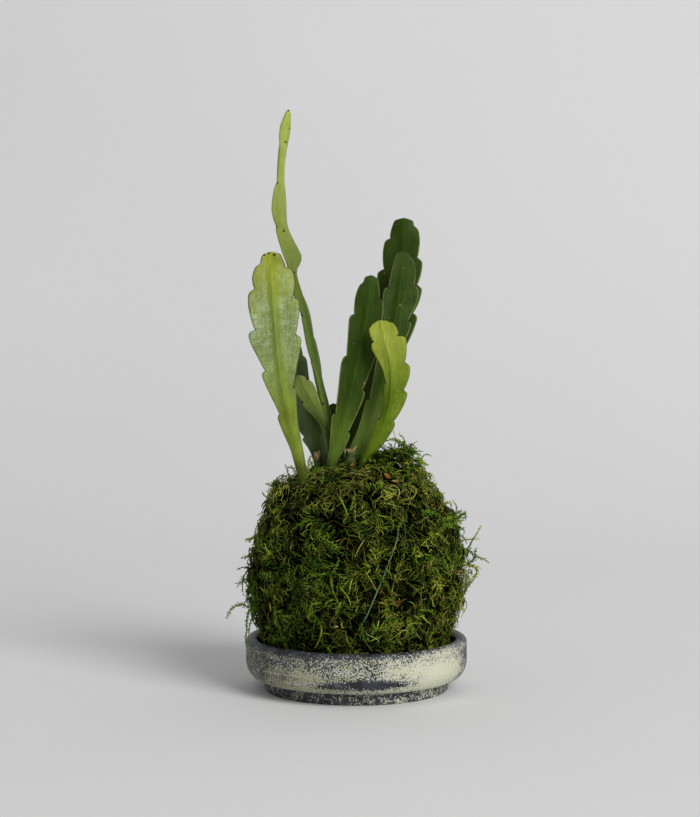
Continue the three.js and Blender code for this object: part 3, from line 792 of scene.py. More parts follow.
def lobe_share(height, notches):
    """The share of the full half width at each height. From a notch the edge swells, between a line and
    a quarter sine, to the lobe's top, then rounds over and drops to the next notch, where it is bitten."""
    edges = np.array([notches[0] - LOBE["length"], *notches, notches[-1] + LOBE["length"]])
    after = np.searchsorted(edges, height, side="right")
    low, high = edges[np.clip(after - 1, 0, len(edges) - 2)], edges[np.clip(after, 1, len(edges) - 1)]
    along = np.clip((height - low) / (high - low), 0, 1)
    rise = np.minimum(along / LOBE["top"], 1)
    swell = LOBE["arched"] * np.sin(np.pi / 2 * rise) + LOBE["straight"] * rise
    rounded = np.clip((along - LOBE["top"]) / (1 - LOBE["top"]), 0, 1) * (height < notches[-1])
    swell = swell * np.sqrt(1 - rounded ** LOBE["round"])
    bite = np.exp(-((np.subtract.outer(height, notches) / LOBE["bite_reach"]) ** 2)).sum(axis=1)
    return 1 - LOBE["notch"] * (1 - swell) - LOBE["bite"] * bite


def face_steps():
    """Shares of the half width from the left edge to the right one, closer at the edges and the midrib."""
    even = np.linspace(-1, 1, FACE_STEPS + 1)
    return np.sin(np.pi / 2 * even * (0.55 + 0.45 * even**2))


def stem_surface(stem, seed):
    """The section carried along the spine. Its half thickness is a thin wing plus a bell-shaped midrib, and
    falls to the rounded edge as (1 - share^k)^(1/k), with k from 2 on the round stalk to 7 on the wings."""
    d = STEM
    random = np.random.default_rng(seed)
    spine, along = smooth_path(stem["spine"], ROW_STEP)
    height = spine[:, 2]
    turn = np.radians(np.interp(height, *np.array(stem["turn"], float).T))
    side = square_to(np.stack([np.cos(turn), np.sin(turn), np.zeros_like(turn)], axis=-1), along)
    front = np.cross(side, along)

    steps = np.linalg.norm(np.diff(spine, axis=0), axis=1)
    from_tip = np.concatenate([np.cumsum(steps[::-1])[::-1], [0]])
    closing = np.sqrt(1 - np.clip(1 - from_tip / d["tip_round"], 0, d["tip_share"]) ** 2)
    at, *widths = np.array(stem["widths"], float).T
    left, right = [
        softened(np.interp(height, at, width), WIDTH_SOFT) * lobe_share(height, notches) * closing
        for width, notches in zip(widths, (stem["left"], stem["right"]))
    ]

    flatness = smoothstep((left + right) / 2, d["stalk_half_width"], d["flat_half_width"])
    rib = d["stalk"] + (d["rib"] - d["stalk"]) * flatness
    rib = (d["tip"] + (rib - d["tip"]) * np.sqrt(np.clip(from_tip / d["taper"], 0, 1)))[:, None]
    flatness = flatness[:, None]

    share = face_steps()
    offset = np.where(share < 0, share * left[:, None], share * right[:, None])
    wing = np.minimum(d["wing"] + (d["edge"] - d["wing"]) * share**2, rib)
    bell = np.exp(-((offset / d["rib_width"]) ** 2))
    flat = (wing + (rib - wing) * bell) / 2 * (1 - np.abs(share) ** d["square"]) ** (1 / d["square"])
    stalk = rib / 2 * np.sqrt(1 - share**2)
    half = stalk + (flat - stalk) * flatness

    walked = np.arange(len(spine))[:, None] * ROW_STEP
    phases = random.uniform(0, 2 * np.pi, 2)
    waves = np.sin(2 * np.pi * walked / d["wave_length"] + np.where(share < 0, *phases))
    bend = flatness * (stem["wave"] * np.abs(share) ** d["wave_rise"] * waves + stem["cup"] * share**2)

    columns = np.concatenate([np.arange(len(share)), np.arange(1, len(share) - 1)[::-1]])
    facing = np.where(np.arange(len(columns)) < len(share), 1.0, -1.0)
    facing[[0, len(share) - 1]] = 0
    depth = bend[:, columns] + facing * half[:, columns]
    rings = spine[:, None] + side[:, None] * offset[:, columns, None] + front[:, None] * depth[..., None]
    points = closed_rings(spine[0] - along[0] * d["buried"], rings, spine[-1] + along[-1] * d["point"])

    edge = (1 - np.abs(share)) * np.where(share < 0, left[:, None], right[:, None])
    slope = np.maximum(along[:, 2], 0.3)
    spots = np.zeros_like(offset)
    for notches, on_side in ((stem["left"], share < 0), (stem["right"], share > 0)):
        for notch in notches:
            distance = np.hypot((height - notch)[:, None] / slope[:, None], edge)
            spots = np.maximum(spots, np.exp(-((distance / AREOLE) ** 2)) * on_side)

    def spread(grid):
        """One number for each point of the skin, from a grid over the front face."""
        grid = np.broadcast_to(grid, offset.shape)[:, columns]
        return np.concatenate([grid[0, :1], grid.ravel(), grid[-1, :1]])

    values = {
        "rib": spread(np.abs(offset)),
        "edge": spread(edge),
        "tip": spread(from_tip[:, None]),
        "areole": spread(spots),
        "foot": spread(height[:, None] - MOSS_TOP),
    }
    return points, ring_faces(len(spine), len(columns)), values


# %% [markdown]
# ## The stems' skin
# The skin is a waxy green. Beside the midrib it is clear and saturated, and on the wings a pale bloom of wax
# lies over it, broken into fine mottling. The youngest lobes ripen to yellow, with a thin brown line along
# their edge, and the foot is clear again. Just over the moss each foot is painted darker, as the moss's
# shade.
# Each areole is a dark corky dot with a little pale wool. All stems share this, so it is one node group, and
# each kind of stem gives the group its own colours and amounts. A few spots and scars are placed one by
# one, by their distance from a point.

# %% The stems' skin
SKIN_VALUES = ("Rib", "Edge", "Tip", "Areole", "Foot")  # the attributes of the skin, with capitals
SKIN_MARKS = ("Spot", "Scar")
SKIN_AMOUNTS = (
    "Bloom Amount", "Mottle", "Midline Amount", "Ripe Reach", "Ripe Amount", "Foot Reach", "Margin Amount",
    "Wool",
)
SKIN_COLOURS = ("Flesh", "Bloom", "Midline", "Ripe", "Foot Color", "Margin", "Ripe Margin")
# Distances in millimetres over which the skin changes: from the midrib to the wing, from the middle of the
# midrib, from the edge, and up from the top of the moss, over which the painted shade at each stem's foot
# fades
WING, MIDLINE, MARGIN, PAINTED_FOOT_SHADE_RISE = (0.9, 4.4), (0.15, 0.6), (0.2, 0.85), (2.5, 11.5)
# How much light the painted shade of the moss leaves at the very foot
PAINTED_FOOT_SHADE_LIGHT = 0.5
SPECK_SPACING = 5.5


def stem_skin_group():
    """The skin's colour, how rough it is and its relief, from what the mesh and each kind of stem give."""
    values = SKIN_VALUES + SKIN_MARKS + SKIN_AMOUNTS
    outputs = ("Color", "Roughness", "Height")
    tree, given, result = new_group("stem_skin", values, SKIN_COLOURS, outputs)
    place = object_place(tree)
    fine = noise(tree, place, 0.95, detail=2, rough=0.6, distortion=0.6)
    strokes = noise(tree, object_place(tree, (0.8, 1, 1.6)), 2.1, detail=3, rough=0.6, distortion=1.2)
    broad = noise(tree, place, 8, detail=3)
    grain = noise(tree, place, 0.4, detail=1)
    fibres = noise(tree, object_place(tree, (1, 1, 0.1)), 0.9, detail=2, distortion=0.3)
    mottles = plus(tree, times(tree, fine, 0.4), times(tree, strokes, 0.45), times(tree, broad, 0.15))
    worn = times(tree, given["Mottle"], opposite(tree, fade(tree, mottles, 0.4, 0.58)))
    old = fade(tree, maths(tree, "DIVIDE", given["Foot"], given["Foot Reach"]), 0.35, 1.2)
    wing = fade(tree, given["Rib"], *WING)
    bloom = times(tree, wing, opposite(tree, worn), old, given["Bloom Amount"])
    from_tip = plus(tree, given["Tip"], fade(tree, broad, 0, 1, -7, 7))
    youth = fade(tree, maths(tree, "DIVIDE", from_tip, given["Ripe Reach"]), 0.1, 1, 1, 0)
    ripe = times(tree, youth, given["Ripe Amount"])
    clear = opposite(tree, times(tree, ripe, 0.75))
    midline = times(tree, fade(tree, given["Rib"], *MIDLINE, 1, 0), old, given["Midline Amount"])
    margin = times(tree, fade(tree, given["Edge"], *MARGIN, 1, 0), given["Margin Amount"])
    margin_colour = mix(tree, fade(tree, youth, 0.1, 0.6), given["Margin"], given["Ripe Margin"])
    colour = given["Foot Color"]
    for mask, layer in (
        (old, given["Flesh"]),
        (ripe, given["Ripe"]),
        (times(tree, bloom, clear), given["Bloom"]),
        (times(tree, midline, clear), given["Midline"]),
        (margin, margin_colour),
    ):
        colour = mix(tree, mask, colour, layer)

    uneven = fade(tree, plus(tree, grain, broad), 0.7, 1.3, 0.82, 1.14)
    striped = fade(tree, fibres, 0.32, 0.68, 0.9, 1.1)
    # Painted shade: each stem is darker just over the moss, where the moss shades it
    painted_foot_shade = fade(tree, given["Foot"], *PAINTED_FOOT_SHADE_RISE, PAINTED_FOOT_SHADE_LIGHT)
    colour = shaded(tree, colour, times(tree, uneven, striped, painted_foot_shade))
    cells = {"Vector": place, "Scale": 1 / (SPECK_SPACING * MM), "Randomness": 1.0}
    from_speck = node(tree, "ShaderNodeTexVoronoi", cells).outputs["Distance"]
    for mask, layer in (
        (fade(tree, from_speck, 0.03, 0.06, 0.5, 0), (176, 186, 146)),
        (fade(tree, given["Areole"], 0.25, 0.7), (50, 34, 20)),
        (times(tree, fade(tree, given["Areole"], 0.8, 0.95), given["Wool"]), (196, 190, 162)),
        (given["Spot"], (44, 28, 18)),
        (given["Scar"], (150, 126, 96)),
    ):
        colour = mix(tree, mask, colour, linear(*layer))
    rough = plus(tree, fade(tree, bloom, 0, 1, 0.42, 0.6), times(tree, fine, 0.1))
    relief = plus(tree, fine, times(tree, grain, 0.25), times(tree, given["Areole"], 1.5))
    connect(tree, zip(outputs, (colour, rough, relief)), result)
    return tree


STEM_SKIN = stem_skin_group()
# Spots and scars as (x, z, radius), measured across the front
TIP_SPOTS = [(-48.3, 233.7, 0.8), (-45.9, 234.7, 0.7), (-42.9, 233.8, 0.9)]
TALL_SPOTS = [
    (-39.0, 247.3, 0.8), (-33.2, 225.2, 0.5), (-36.6, 311.9, 0.9), (-37.9, 295, 0.75), (-36, 302.2, 0.45),
]
DARK_SCARS = [
    (4.6, 165.8, 1.0), (11.6, 149.4, 0.55), (11.9, 147.8, 0.6), (23.6, 207.8, 0.4), (24.6, 207, 0.35),
]


def marks(tree, places):
    """A mask that is one at each place and falls to nothing at its ragged radius, whatever the depth."""
    place = object_place(tree, (1, 0, 1))
    ragged = scaled(tree, noise(tree, object_place(tree), 0.6), 1.2 * MM)
    found = 0.0
    for x, z, radius in places:
        point = (x * MM, 0, z * MM)
        away = node(tree, "ShaderNodeVectorMath", {0: place, 1: point}, operation="DISTANCE").outputs["Value"]
        mark = fade(tree, plus(tree, away, ragged), 0.5 * radius * MM, radius * MM, 1, 0)
        found = maths(tree, "MAXIMUM", mark, found)
    return found


def stem_material(name, spots, scars, colours, amounts):
    """A stem's material: the shared skin with this kind's marks, colours and amounts."""
    material, tree, shader = new_material(name)
    given = {key: attribute(tree, key.lower()) for key in SKIN_VALUES}
    given |= {key: marks(tree, places) for key, places in zip(SKIN_MARKS, (spots, scars)) if places}
    given |= {key: linear(*colour) for key, colour in zip(SKIN_COLOURS, colours)}
    given |= zip(SKIN_AMOUNTS, amounts)
    skin = node(tree, "ShaderNodeGroup", node_tree=STEM_SKIN)
    connect(tree, given, skin.inputs)
    colour, rough, relief = skin.outputs
    looks = {"Base Color": colour, "Roughness": rough, "Specular IOR Level": 0.1}
    finish_shader(tree, shader, looks, relief, depth=0.12, strength=0.7)
    return material


def dark_kind(name, bloom, foot, foot_reach):
    """The kinds of dark stems differ in their bloom and their foot only."""
    colours = [(46, 68, 6), bloom, (66, 90, 34), (54, 74, 18), foot, (140, 152, 84), (96, 96, 54)]
    return "dark_stem", name, [], DARK_SCARS, colours, [0.5, 0.8, 0.3, 20, 0.4, foot_reach, 0.6, 0.8]


# For each kind of stem: its slot, its material's name, its spots and scars, and then its colours and its
# amounts in the order of their names above
STEM_KINDS = {
    "pale_stem": (
        "pale_stem", "pale_waxy_stem", TIP_SPOTS, [],
        [(120, 145, 58), (188, 201, 166), (170, 184, 128), (155, 164, 44), (124, 141, 48), (116, 128, 70),
         (92, 44, 26)],
        [0.78, 0.85, 0.6, 44, 0.94, 76, 0.9, 0.3],
    ),
    "mid_stem": (
        "mid_stem", "mid_green_stem", TALL_SPOTS, [],
        [(72, 92, 28), (108, 124, 68), (98, 114, 66), (176, 188, 88), (58, 80, 24), (104, 130, 44),
         (150, 152, 70)],
        [0.5, 0.6, 0.3, 124, 0.85, 40, 0.5, 0.8],
    ),
    "side_stem": (
        "mid_stem", "pale_side_stem", [], [],
        [(94, 112, 42), (122, 138, 80), (74, 96, 38), (138, 150, 76), (64, 84, 26), (138, 148, 84),
         (140, 146, 82)],
        [0.5, 0.4, 0.8, 26, 0.5, 36, 0.5, 0.6],
    ),
    "dark_stem": dark_kind("dark_green_stem", (64, 80, 38), (76, 98, 32), 18),
    "front_stem": dark_kind("dark_front_stem", (48, 64, 20), (82, 105, 32), 40),
    # The right stem's pale foot colour, reaching far up, is partly painted light: it lifts the foot out of
    # the shade of the stems in front
    "right_stem": dark_kind("dark_right_stem", (74, 90, 48), (112, 138, 56), 44),
    # The bluish stem's pale Ripe colour is painted light: it lifts the stem's top out of the pale stem's
    # shadow
    "blue_stem": (
        "dark_stem", "bluish_green_stem", [], [],
        [(72, 94, 42), (106, 124, 88), (78, 98, 54), (124, 144, 102), (58, 76, 34), (112, 124, 60),
         (80, 84, 50)],
        [0.6, 0.5, 0.2, 46, 0.8, 14, 0.6, 0.8],
    ),
    "bright_stem": (
        "bright_stem", "bright_young_stem", [], [],
        [(86, 113, 8), (144, 160, 56), (58, 86, 12), (172, 182, 72), (100, 124, 26), (112, 122, 44),
         (108, 62, 30)],
        [0.5, 0.8, 0.9, 44, 0.8, 34, 0.4, 0.3],
    ),
}
STEM_MATERIALS = {kind: (slot, stem_material(*look)) for kind, (slot, *look) in STEM_KINDS.items()}

for number, (name, stem) in enumerate(STEMS.items()):
    slot, material = STEM_MATERIALS[stem["finish"]]
    solid = "stem_tall_thin" if name == "side_stem" else name
    build_piece(name + "_skin", stem_surface(stem, 40 + number), material, [solid])

# %% [markdown]
# ## Pads that stand out
# Under the even moss lie a few thicker pads, which lift it out of the ball's form: a hump to the right of
# the stems, and low swellings at both sides. The solids rise there too, by the same rule.

# %% Pads that stand out
# The middle of each pad, how far it reaches, and how high it stands
PADS = [((20, -4, 119), 15, 9), ((54, -4, 66), 14, 3), ((-54, -8, 58), 20, 2.5), ((-36, -12, 110), 9, 4)]


def pad_height(points):
    """How far the pads lift the moss: for each pad, its height times a bell-shaped share of the distance."""
    return bells(points, PADS)


def moss_ground(directions, raised=0.0):
    """Points on the moss in the given directions, lifted by the pads and raised over it, and the ways
    straight out of it."""
    points = ball_points(directions)
    out = ball_normals(points)
    return points + out * (pad_height(points) + raised)[..., None], out


print("height of the hump beside the stems:", round(float(pad_height(np.array(PADS[0][0]))), 1), "mm")

# %% [markdown]
# ## The binding thread
# A kokedama is bound with thread so the moss stays on. Two turns run round the ball in slanting planes and
# are knotted where they cross, at the back of the top. Moss has grown over most of the thread: it shows on
# the front as one slanting stretch, round the knot, and here and there at the back. A real thread is two
# plies twisted together, so its section is a figure with two lobes that turns along the way.

# %% The binding thread
THREAD = {
    "radius": 0.36,
    "lobe": 0.28,
    "pitch": 2.6,
    "step": 0.75,
    "sides": 6,
    "over": 1.7,
    "under": 1.4,
    "floor": 0.5,  # least height of its middle over the ball's rest
    "knots": 160,
    "shown": 0.4,  # moss leaves room where more than this share shows
}
THREAD_PLANES = np.array([[0.903, 0.187, -0.388], [0.2, -0.88, 0.43]])
SHOWN_HEIGHTS = (46, 88)  # of the stretch on the front
KNOT = {"size": 0.5, "flat": 0.8, "sides": 8, "stations": 48, "lift": 0.6, "shown": (12, 20)}
KNOT_WAY = unit(np.cross(THREAD_PLANES[1], THREAD_PLANES[0]))
KNOT_AT = ball_points(KNOT_WAY[None])[0]


def thread_shows(points):
    """1 where the thread lies over the moss, and 0 where moss covers it: at the back, slow random patches
    decide, and every stretch fades out over a few millimetres."""
    x, y, height = np.moveaxis(points, -1, 0)
    low, high = SHOWN_HEIGHTS
    front = smoothstep(height, low - 4, low + 2) * (1 - smoothstep(height, high - 2, high + 4))
    front = front * smoothstep(x, 0, 2) * smoothstep(-y, 10, 15)
    back = smoothstep(lumps(points, 60, 8), 0.0, 0.25) * smoothstep(y, 5, 15) * smoothstep(height, 22, 30)
    knot = 1 - smoothstep(np.linalg.norm(points - KNOT_AT, axis=-1), *KNOT["shown"])
    return np.maximum(np.maximum(front, back), knot)


def turn_route(plane, step):
    """One closed turn: the ball's points in the plane through its centre, lifted over the moss or sunk into
    it. Where it runs under the ball it stays a thread's thickness above the saucer's floor."""
    plane = unit(plane)
    first = unit(np.cross([0, 0, 1], plane))
    second = np.cross(plane, first)
    angles = np.linspace(0, 2 * np.pi, THREAD["knots"], endpoint=False)[:, None]
    ways = np.cos(angles) * first + np.sin(angles) * second
    shows = thread_shows(ball_points(ways))
    points, _ = moss_ground(ways, THREAD["over"] * shows - THREAD["under"] * (1 - shows))
    points[:, 2] = np.maximum(points[:, 2], BALL["rest"] + THREAD["floor"])
    return smooth_path(points, step, closed=True)


def thread_surface(plane):
    """Rings along the closed route: radius * (1 + lobe * cos(2 * (angle - twist))), where the twist makes
    one full turn per pitch. The last ring joins the first."""
    route, along = turn_route(plane, THREAD["step"])
    route, along = route[:-1], along[:-1]
    outward = square_to(ball_normals(route), along)
    other = np.cross(along, outward)
    turns = round(len(route) * THREAD["step"] / THREAD["pitch"])
    twist = 2 * np.pi * turns * np.arange(len(route))[:, None] / len(route)
    angles = full_turn(THREAD["sides"])
    groove = np.cos(2 * (angles - twist))
    radius = THREAD["radius"] * (1 + THREAD["lobe"] * groove)
    circle = np.cos(angles)[:, None] * outward[:, None] + np.sin(angles)[:, None] * other[:, None]
    rings = route[:, None] + radius[..., None] * circle
    ring = np.arange(rings.shape[0] * rings.shape[1]).reshape(rings.shape[:2])
    after = np.roll(ring, -1, axis=1)
    triangles = quad_faces(ring, after, np.roll(ring, -1, axis=0), np.roll(after, -1, axis=0))
    return rings.reshape(-1, 3), triangles, {"groove": groove.ravel()}


def knot_surface():
    """An overhand knot: a trefoil line, small and flattened against the ball, with a round section."""
    centre, outward = moss_ground(KNOT_WAY, THREAD["over"] + KNOT["lift"])
    time = np.linspace(0, 2 * np.pi, KNOT["stations"], endpoint=False)
    trefoil = [np.sin(time) + 2 * np.sin(2 * time), np.cos(time) - 2 * np.cos(2 * time), -np.sin(3 * time)]
    first = unit(np.cross(outward, [1, 0, 0]))
    axes = np.array([first, np.cross(outward, first), outward * KNOT["flat"]])
    line = centre + KNOT["size"] * np.stack(trefoil, axis=-1) @ axes
    path = np.concatenate([line, line[:2]])[None]
    radii = np.full((1, KNOT["stations"]), THREAD["radius"])
    points, triangles, _ = strands(path, radii, sides=KNOT["sides"])
    return points, triangles, {"groove": np.zeros(len(points))}


def thread_material():
    """Teal that is darker in the thread's grooves, as painted shade, and paler where the thread is worn."""
    material, tree, shader = new_material("teal_thread")
    place = object_place(tree)
    worn = noise(tree, place, 9, detail=2)
    ply_relief_and_painted_shade = fade(tree, attribute(tree, "groove"), -0.7, 0.5)
    # Painted shade: the dark teal in the grooves stands in for the shade there; the same mask also gives the
    # thread its relief
    colour = mix(tree, ply_relief_and_painted_shade, linear(14, 36, 16), linear(88, 136, 74))
    colour = mix(tree, fade(tree, worn, 0.4, 0.7, 0, 0.4), colour, linear(122, 158, 106))
    relief = plus(tree, noise(tree, place, 0.25, detail=2), ply_relief_and_painted_shade)
    looks = {"Base Color": colour, "Roughness": 0.55, "Sheen Weight": 0.2}
    finish_shader(tree, shader, looks, relief, depth=0.1)
    return material


thread = join([thread_surface(plane) for plane in THREAD_PLANES] + [knot_surface()])
build_piece("bound_thread", thread, thread_material(), ["binding_thread"])
thread_line = np.concatenate([turn_route(plane, 1.0)[0] for plane in THREAD_PLANES])
thread_line = thread_line[thread_shows(thread_line) > THREAD["shown"]]
print("thread that shows:", len(thread_line), "mm")

# %% [markdown]
# ## The moss's backing
# Sheet moss has a dark felt of old growth under its green shoots, and here it is painted darker still, nearly
# black, as the shade in the gaps. Only gaps between the shoots show it, so it is one lumpy bowl-shaped shell
# round the soil, open at the top where the stems come out. Its outside is the ball's form a few millimetres
# deeper, and its inside lies just off the soil.

# %% The moss's backing
OPENING = {"at": (-11, -1, 118), "angle": 24}
BACKING = {
    "outside": 5.6,
    "inside": 7.9,
    "lump": 0.9,
    "lump_size": 9,
    "fine_lump": 0.5,
    "rim": 0.12,  # the angle over which the rim of the opening sinks, and how far it does
    "rim_sink": 2.0,
    "rings": 84,
    "sides": 132,
}


def backing_surface():
    """A grid of two parameters: the angle away from the opening, first up the outside and then down the
    inside, and the turn round the opening's axis. Each gives a direction, and the ball's rule the point."""
    axis = unit(np.array(OPENING["at"], float) - [0, 0, BALL["centre"]])
    first = unit(np.cross(axis, [0, 1, 0]))
    second = np.cross(axis, first)
    half = BACKING["rings"] // 2
    open_angle = math.radians(OPENING["angle"])
    falls = np.linspace(np.pi - 0.03, open_angle, half)
    falls = np.concatenate([falls, falls[::-1]])[:, None]
    turns = full_turn(BACKING["sides"])
    across = np.cos(turns)[:, None] * first + np.sin(turns)[:, None] * second
    ways = np.cos(falls)[..., None] * axis + np.sin(falls)[..., None] * across
    ground = ball_points(ways)
    lump = lumps(ground, BACKING["lump_size"], 5) * BACKING["lump"]
    lump = lump + BACKING["fine_lump"] * lumps(ground, BACKING["lump_size"] / 3, 6) + pad_height(ground)
    outer = np.arange(2 * half)[:, None] < half
    sink = BACKING["rim_sink"] * (1 - smoothstep(falls, open_angle, open_angle + BACKING["rim"]))
    shrink = np.where(outer, BACKING["outside"] - lump + sink, BACKING["inside"])
    rings = ball_points(ways, np.minimum(shrink, BACKING["inside"]))
    rings[..., 2] = np.maximum(rings[..., 2], np.where(outer, BALL["rest"] + 0.1, BALL["rest"] + 0.35))
    start = ball_points(-axis[None], np.array([BACKING["outside"]]))[0]
    end = ball_points(-axis[None], np.array([BACKING["inside"]]))[0] + [0, 0, 0.3]
    points = closed_rings(start, rings, end)
    return points, ring_faces(2 * half, BACKING["sides"]), {}


def backing_material():
    """Dark felt, painted nearly black as the shade in the gaps, with browner patches."""
    material, tree, shader = new_material("felt_with_painted_shade")
    place = object_place(tree)
    felt = noise(tree, place, 1.4, detail=4, rough=0.7, distortion=1.5)
    patches = noise(tree, place, 7, detail=2)
    # Painted shade: the felt's near black stands in for the shade in the gaps between the shoots
    colour = mix(tree, fade(tree, felt, 0.4, 0.7), linear(4, 5, 1), linear(26, 28, 8))
    colour = mix(tree, fade(tree, patches, 0.5, 0.75, 0, 0.5), colour, linear(30, 22, 8))
    looks = {"Base Color": colour, "Roughness": 0.95, "Specular IOR Level": 0.0}
    finish_shader(tree, shader, looks, felt, depth=1.0)
    return material


build_piece("moss_backing", backing_surface(), backing_material(), ["moss_cover"])

# %% [markdown]
# ## How moss grows on the ball
# Moss comes in tussocks: shoots of one tussock lean the same way, share a tint and stand a little higher in
# its middle, and dark gaps open between the tussocks. So the ball is first spread with their middles, and
# each shoot looks up its nearest one. Where the thread lies over the moss the shoots are pressed down, and
# inside the saucer they bend along its wall.

# %% How moss grows on the ball
TUSSOCKS = 460
LOWEST_ROOT = 17
RIM_SPACE, FLOOR_SPACE = 0.7, 0.6  # how far moss keeps off the saucer's rim and wall, and off its floor
INNER_WALL = SAUCER["radius"] - SAUCER["rim_thickness"] - RIM_SPACE
LEAST_RISE = -2.4  # of a shoot's root over the even ground
# Distances from the thread up to which it presses moss down fully, and from which on not at all, and how far
PRESSED = {"full": 1.2, "none": 4.5, "sink": 2.4}
# How much a shoot leans with its tussock, away from the tussock's middle, and at random
LEAN = {"own": 0.9, "outwards": 0.5, "random": 0.5}
# How far a tussock's middle rises, how fast it falls away from there, and how much roots differ
RISE = {"middle": 1.4, "tussocks": 1.5, "fall": 0.11, "roots": 0.7}
# How much of a shoot's tint is its tussock's, its own and the place's
TINT = {"tussock": 0.25, "own": 0.6, "place": 0.15}
# Places that are greener, or less green where the last number is negative: middle, reach and amount
GREEN_PLACES = [
    ((-21, -46, 72), 9, 0.7),
    ((48, -14, 97), 10, 0.5),
    ((-46, -22, 53), 14, 0.4),
    ((-14, -32, 106), 7, 0.5),
    ((42, -30, 69), 9, 0.4),
    ((22, -32, 106), 15, -0.5),
    ((-8, -30, 112), 8, -0.4),
    ((-6, -50, 40), 11, -0.4),
    ((40, -30, 45), 12, -0.3),
    ((-34, -40, 46), 14, 0.35),
    ((15, -8, 125), 9, 0.4),
    ((46, -24, 94), 7, 0.4),
]
# Places whose shoots are lighter, or darker where the last number is negative: middle, reach and amount
BRIGHT_PLACES = [
    ((36, -40, 46), 17, 0.34),
    ((-12, -50, 74), 17, 0.14),
    ((24, -26, 112), 15, 0.14),
    ((15, -8, 125), 8, -0.3),
    ((30, -12, 120), 9, 0.16),
    ((46, -24, 94), 7, 0.3),
    ((44, -30, 72), 15, 0.12),
    ((-34, -40, 44), 15, -0.16),
    ((-50, -12, 70), 14, 0.1),
]


def tussocks():
    """The tussocks' middles, ways of leaning, tints and heights."""
    random = np.random.default_rng(11)
    middles, out = moss_ground(spiral_directions(TUSSOCKS, 12))
    lean = square_to(random.normal(size=(TUSSOCKS, 3)) + [0, 0, -0.35], out)
    return middles, lean, random.random(TUSSOCKS), random.normal(0, RISE["tussocks"], TUSSOCKS)


TUSSOCK_AT, TUSSOCK_LEAN, TUSSOCK_TINT, TUSSOCK_HEIGHT = tussocks()


def thread_distance(points):
    """How far each point is from the stretches of thread that show. A few thousand points at a time keep
    the table of all distances small."""
    flat = points.reshape(-1, 3)
    near = [
        np.sqrt(((part[:, None] - thread_line[None]) ** 2).sum(axis=-1)).min(axis=1)
        for part in np.array_split(flat, max(1, len(flat) // 4000))
    ]
    return np.concatenate(near).reshape(points.shape[:-1])


def green_share(points):
    """How much of the moss is the green kind rather than the olive one: slow random patches, and the places
    above as bell-shaped changes."""
    return np.clip(bells(points, GREEN_PLACES, 0.45 + 0.6 * lumps(points, 34, 21)), 0.08, 0.95)


def roots(count, seed, deep, keep=None):
    """Where shoots start: their places, the ways out of the ball, the ways they lean, their tints, how far
    they rise over the even ground, and how hard the thread presses them. keep gives the share of shoots
    that grow at each place."""
    random = np.random.default_rng(seed)
    at, out = moss_ground(spiral_directions(count, seed + 1))
    wanted = at[:, 2] > LOWEST_ROOT
    if keep is not None:
        wanted &= random.random(count) < keep(at)
    at, out = at[wanted], out[wanted]
    gaps = np.linalg.norm(at[:, None] - TUSSOCK_AT[None], axis=-1)
    own, away = gaps.argmin(axis=1), gaps.min(axis=1)
    lean = LEAN["own"] * TUSSOCK_LEAN[own] + LEAN["outwards"] * unit(at - TUSSOCK_AT[own] + 1e-6)
    lean = square_to(lean + random.normal(0, LEAN["random"], at.shape), out)
    pressed = 1 - smoothstep(thread_distance(at), PRESSED["full"], PRESSED["none"])
    rise = RISE["middle"] + TUSSOCK_HEIGHT[own] - RISE["fall"] * away**2
    rise = rise + random.normal(0, RISE["roots"], len(at))
    rise = np.maximum(rise, LEAST_RISE) - deep - PRESSED["sink"] * pressed
    tint = TINT["tussock"] * TUSSOCK_TINT[own] + TINT["own"] * random.random(len(at))
    tint = tint + TINT["place"] * (0.5 + 0.5 * lumps(at, 26, 9))
    tint = np.clip(tint + bells(at, BRIGHT_PLACES), 0, 1)
    return {"at": at, "out": out, "lean": lean, "tint": tint, "rise": rise, "pressed": pressed}


def keep_off_saucer(points):
    """Points lower than the rim move in to the inner wall, and all stay above the saucer's floor."""
    radius = np.hypot(points[..., 0], points[..., 1])
    low = points[..., 2] < SAUCER["height"] + RIM_SPACE
    squeeze = np.where(low & (radius > INNER_WALL), INNER_WALL / np.maximum(radius, 1e-6), 1)
    points = points * np.stack([squeeze, squeeze, np.ones_like(squeeze)], axis=-1)
    points[..., 2] = np.maximum(points[..., 2], BALL["rest"] + FLOOR_SPACE)
    return points


# %% [markdown]
# ## Shoots that curl
# Nearly every moss shoot is curled: a plump little strand that leaves the ground in one direction and hooks
# round into another. In numpy one shoot is a heading that turns. With thousands of them each may have only
# a few dozen faces, so a shoot has four rings of three points.

# %% Shoots that curl
CURL_RINGS = np.array([0.85, 1.0, 0.9, 0.6])  # a curl's radius along its length, as shares
CURL_CLEAR, FEATHER_CLEAR = 0.9, 1.3  # least distance from the thread that shows
LEAFLET = {
    "forwards": 0.8,  # how much of its heading is the shoot's own, beside 1 to the side
    "out": 0.2,  # and how much is out of the ball, in the mean and in its spread
    "out_spread": 0.4,
    "from": 0.12,  # the shares of the shoot between which leaflets stand
    "to": 0.88,
    "length": 1.2,  # of the first ones, and how much shorter they get along the shoot
    "fall": 0.7,
    "least": 0.6,  # how much the lengths differ
    "most": 1.3,
    "tip": 0.3,  # how far the tip reaches forwards
    "thick": 0.85,
    "tint_spread": 0.08,
}


def curled_lines(start, way, bend, length, turn, wave, stations):
    """Lines that curl in one plane. At a share s of the length the heading is cos(a) * way + sin(a) * bend,
    with the angle a = turn * s + wave * sin(2 pi s). Equal steps along the heading add up to the line."""
    s = (np.arange(stations - 1) + 0.5) / (stations - 1)
    angle = turn[:, None] * s + wave[:, None] * np.sin(2 * np.pi * s)
    heading = np.cos(angle)[..., None] * way[:, None] + np.sin(angle)[..., None] * bend[:, None]
    steps = heading * (length / (stations - 1))[:, None, None]
    return start[:, None] + np.concatenate([np.zeros((len(start), 1, 3)), np.cumsum(steps, axis=1)], axis=1)


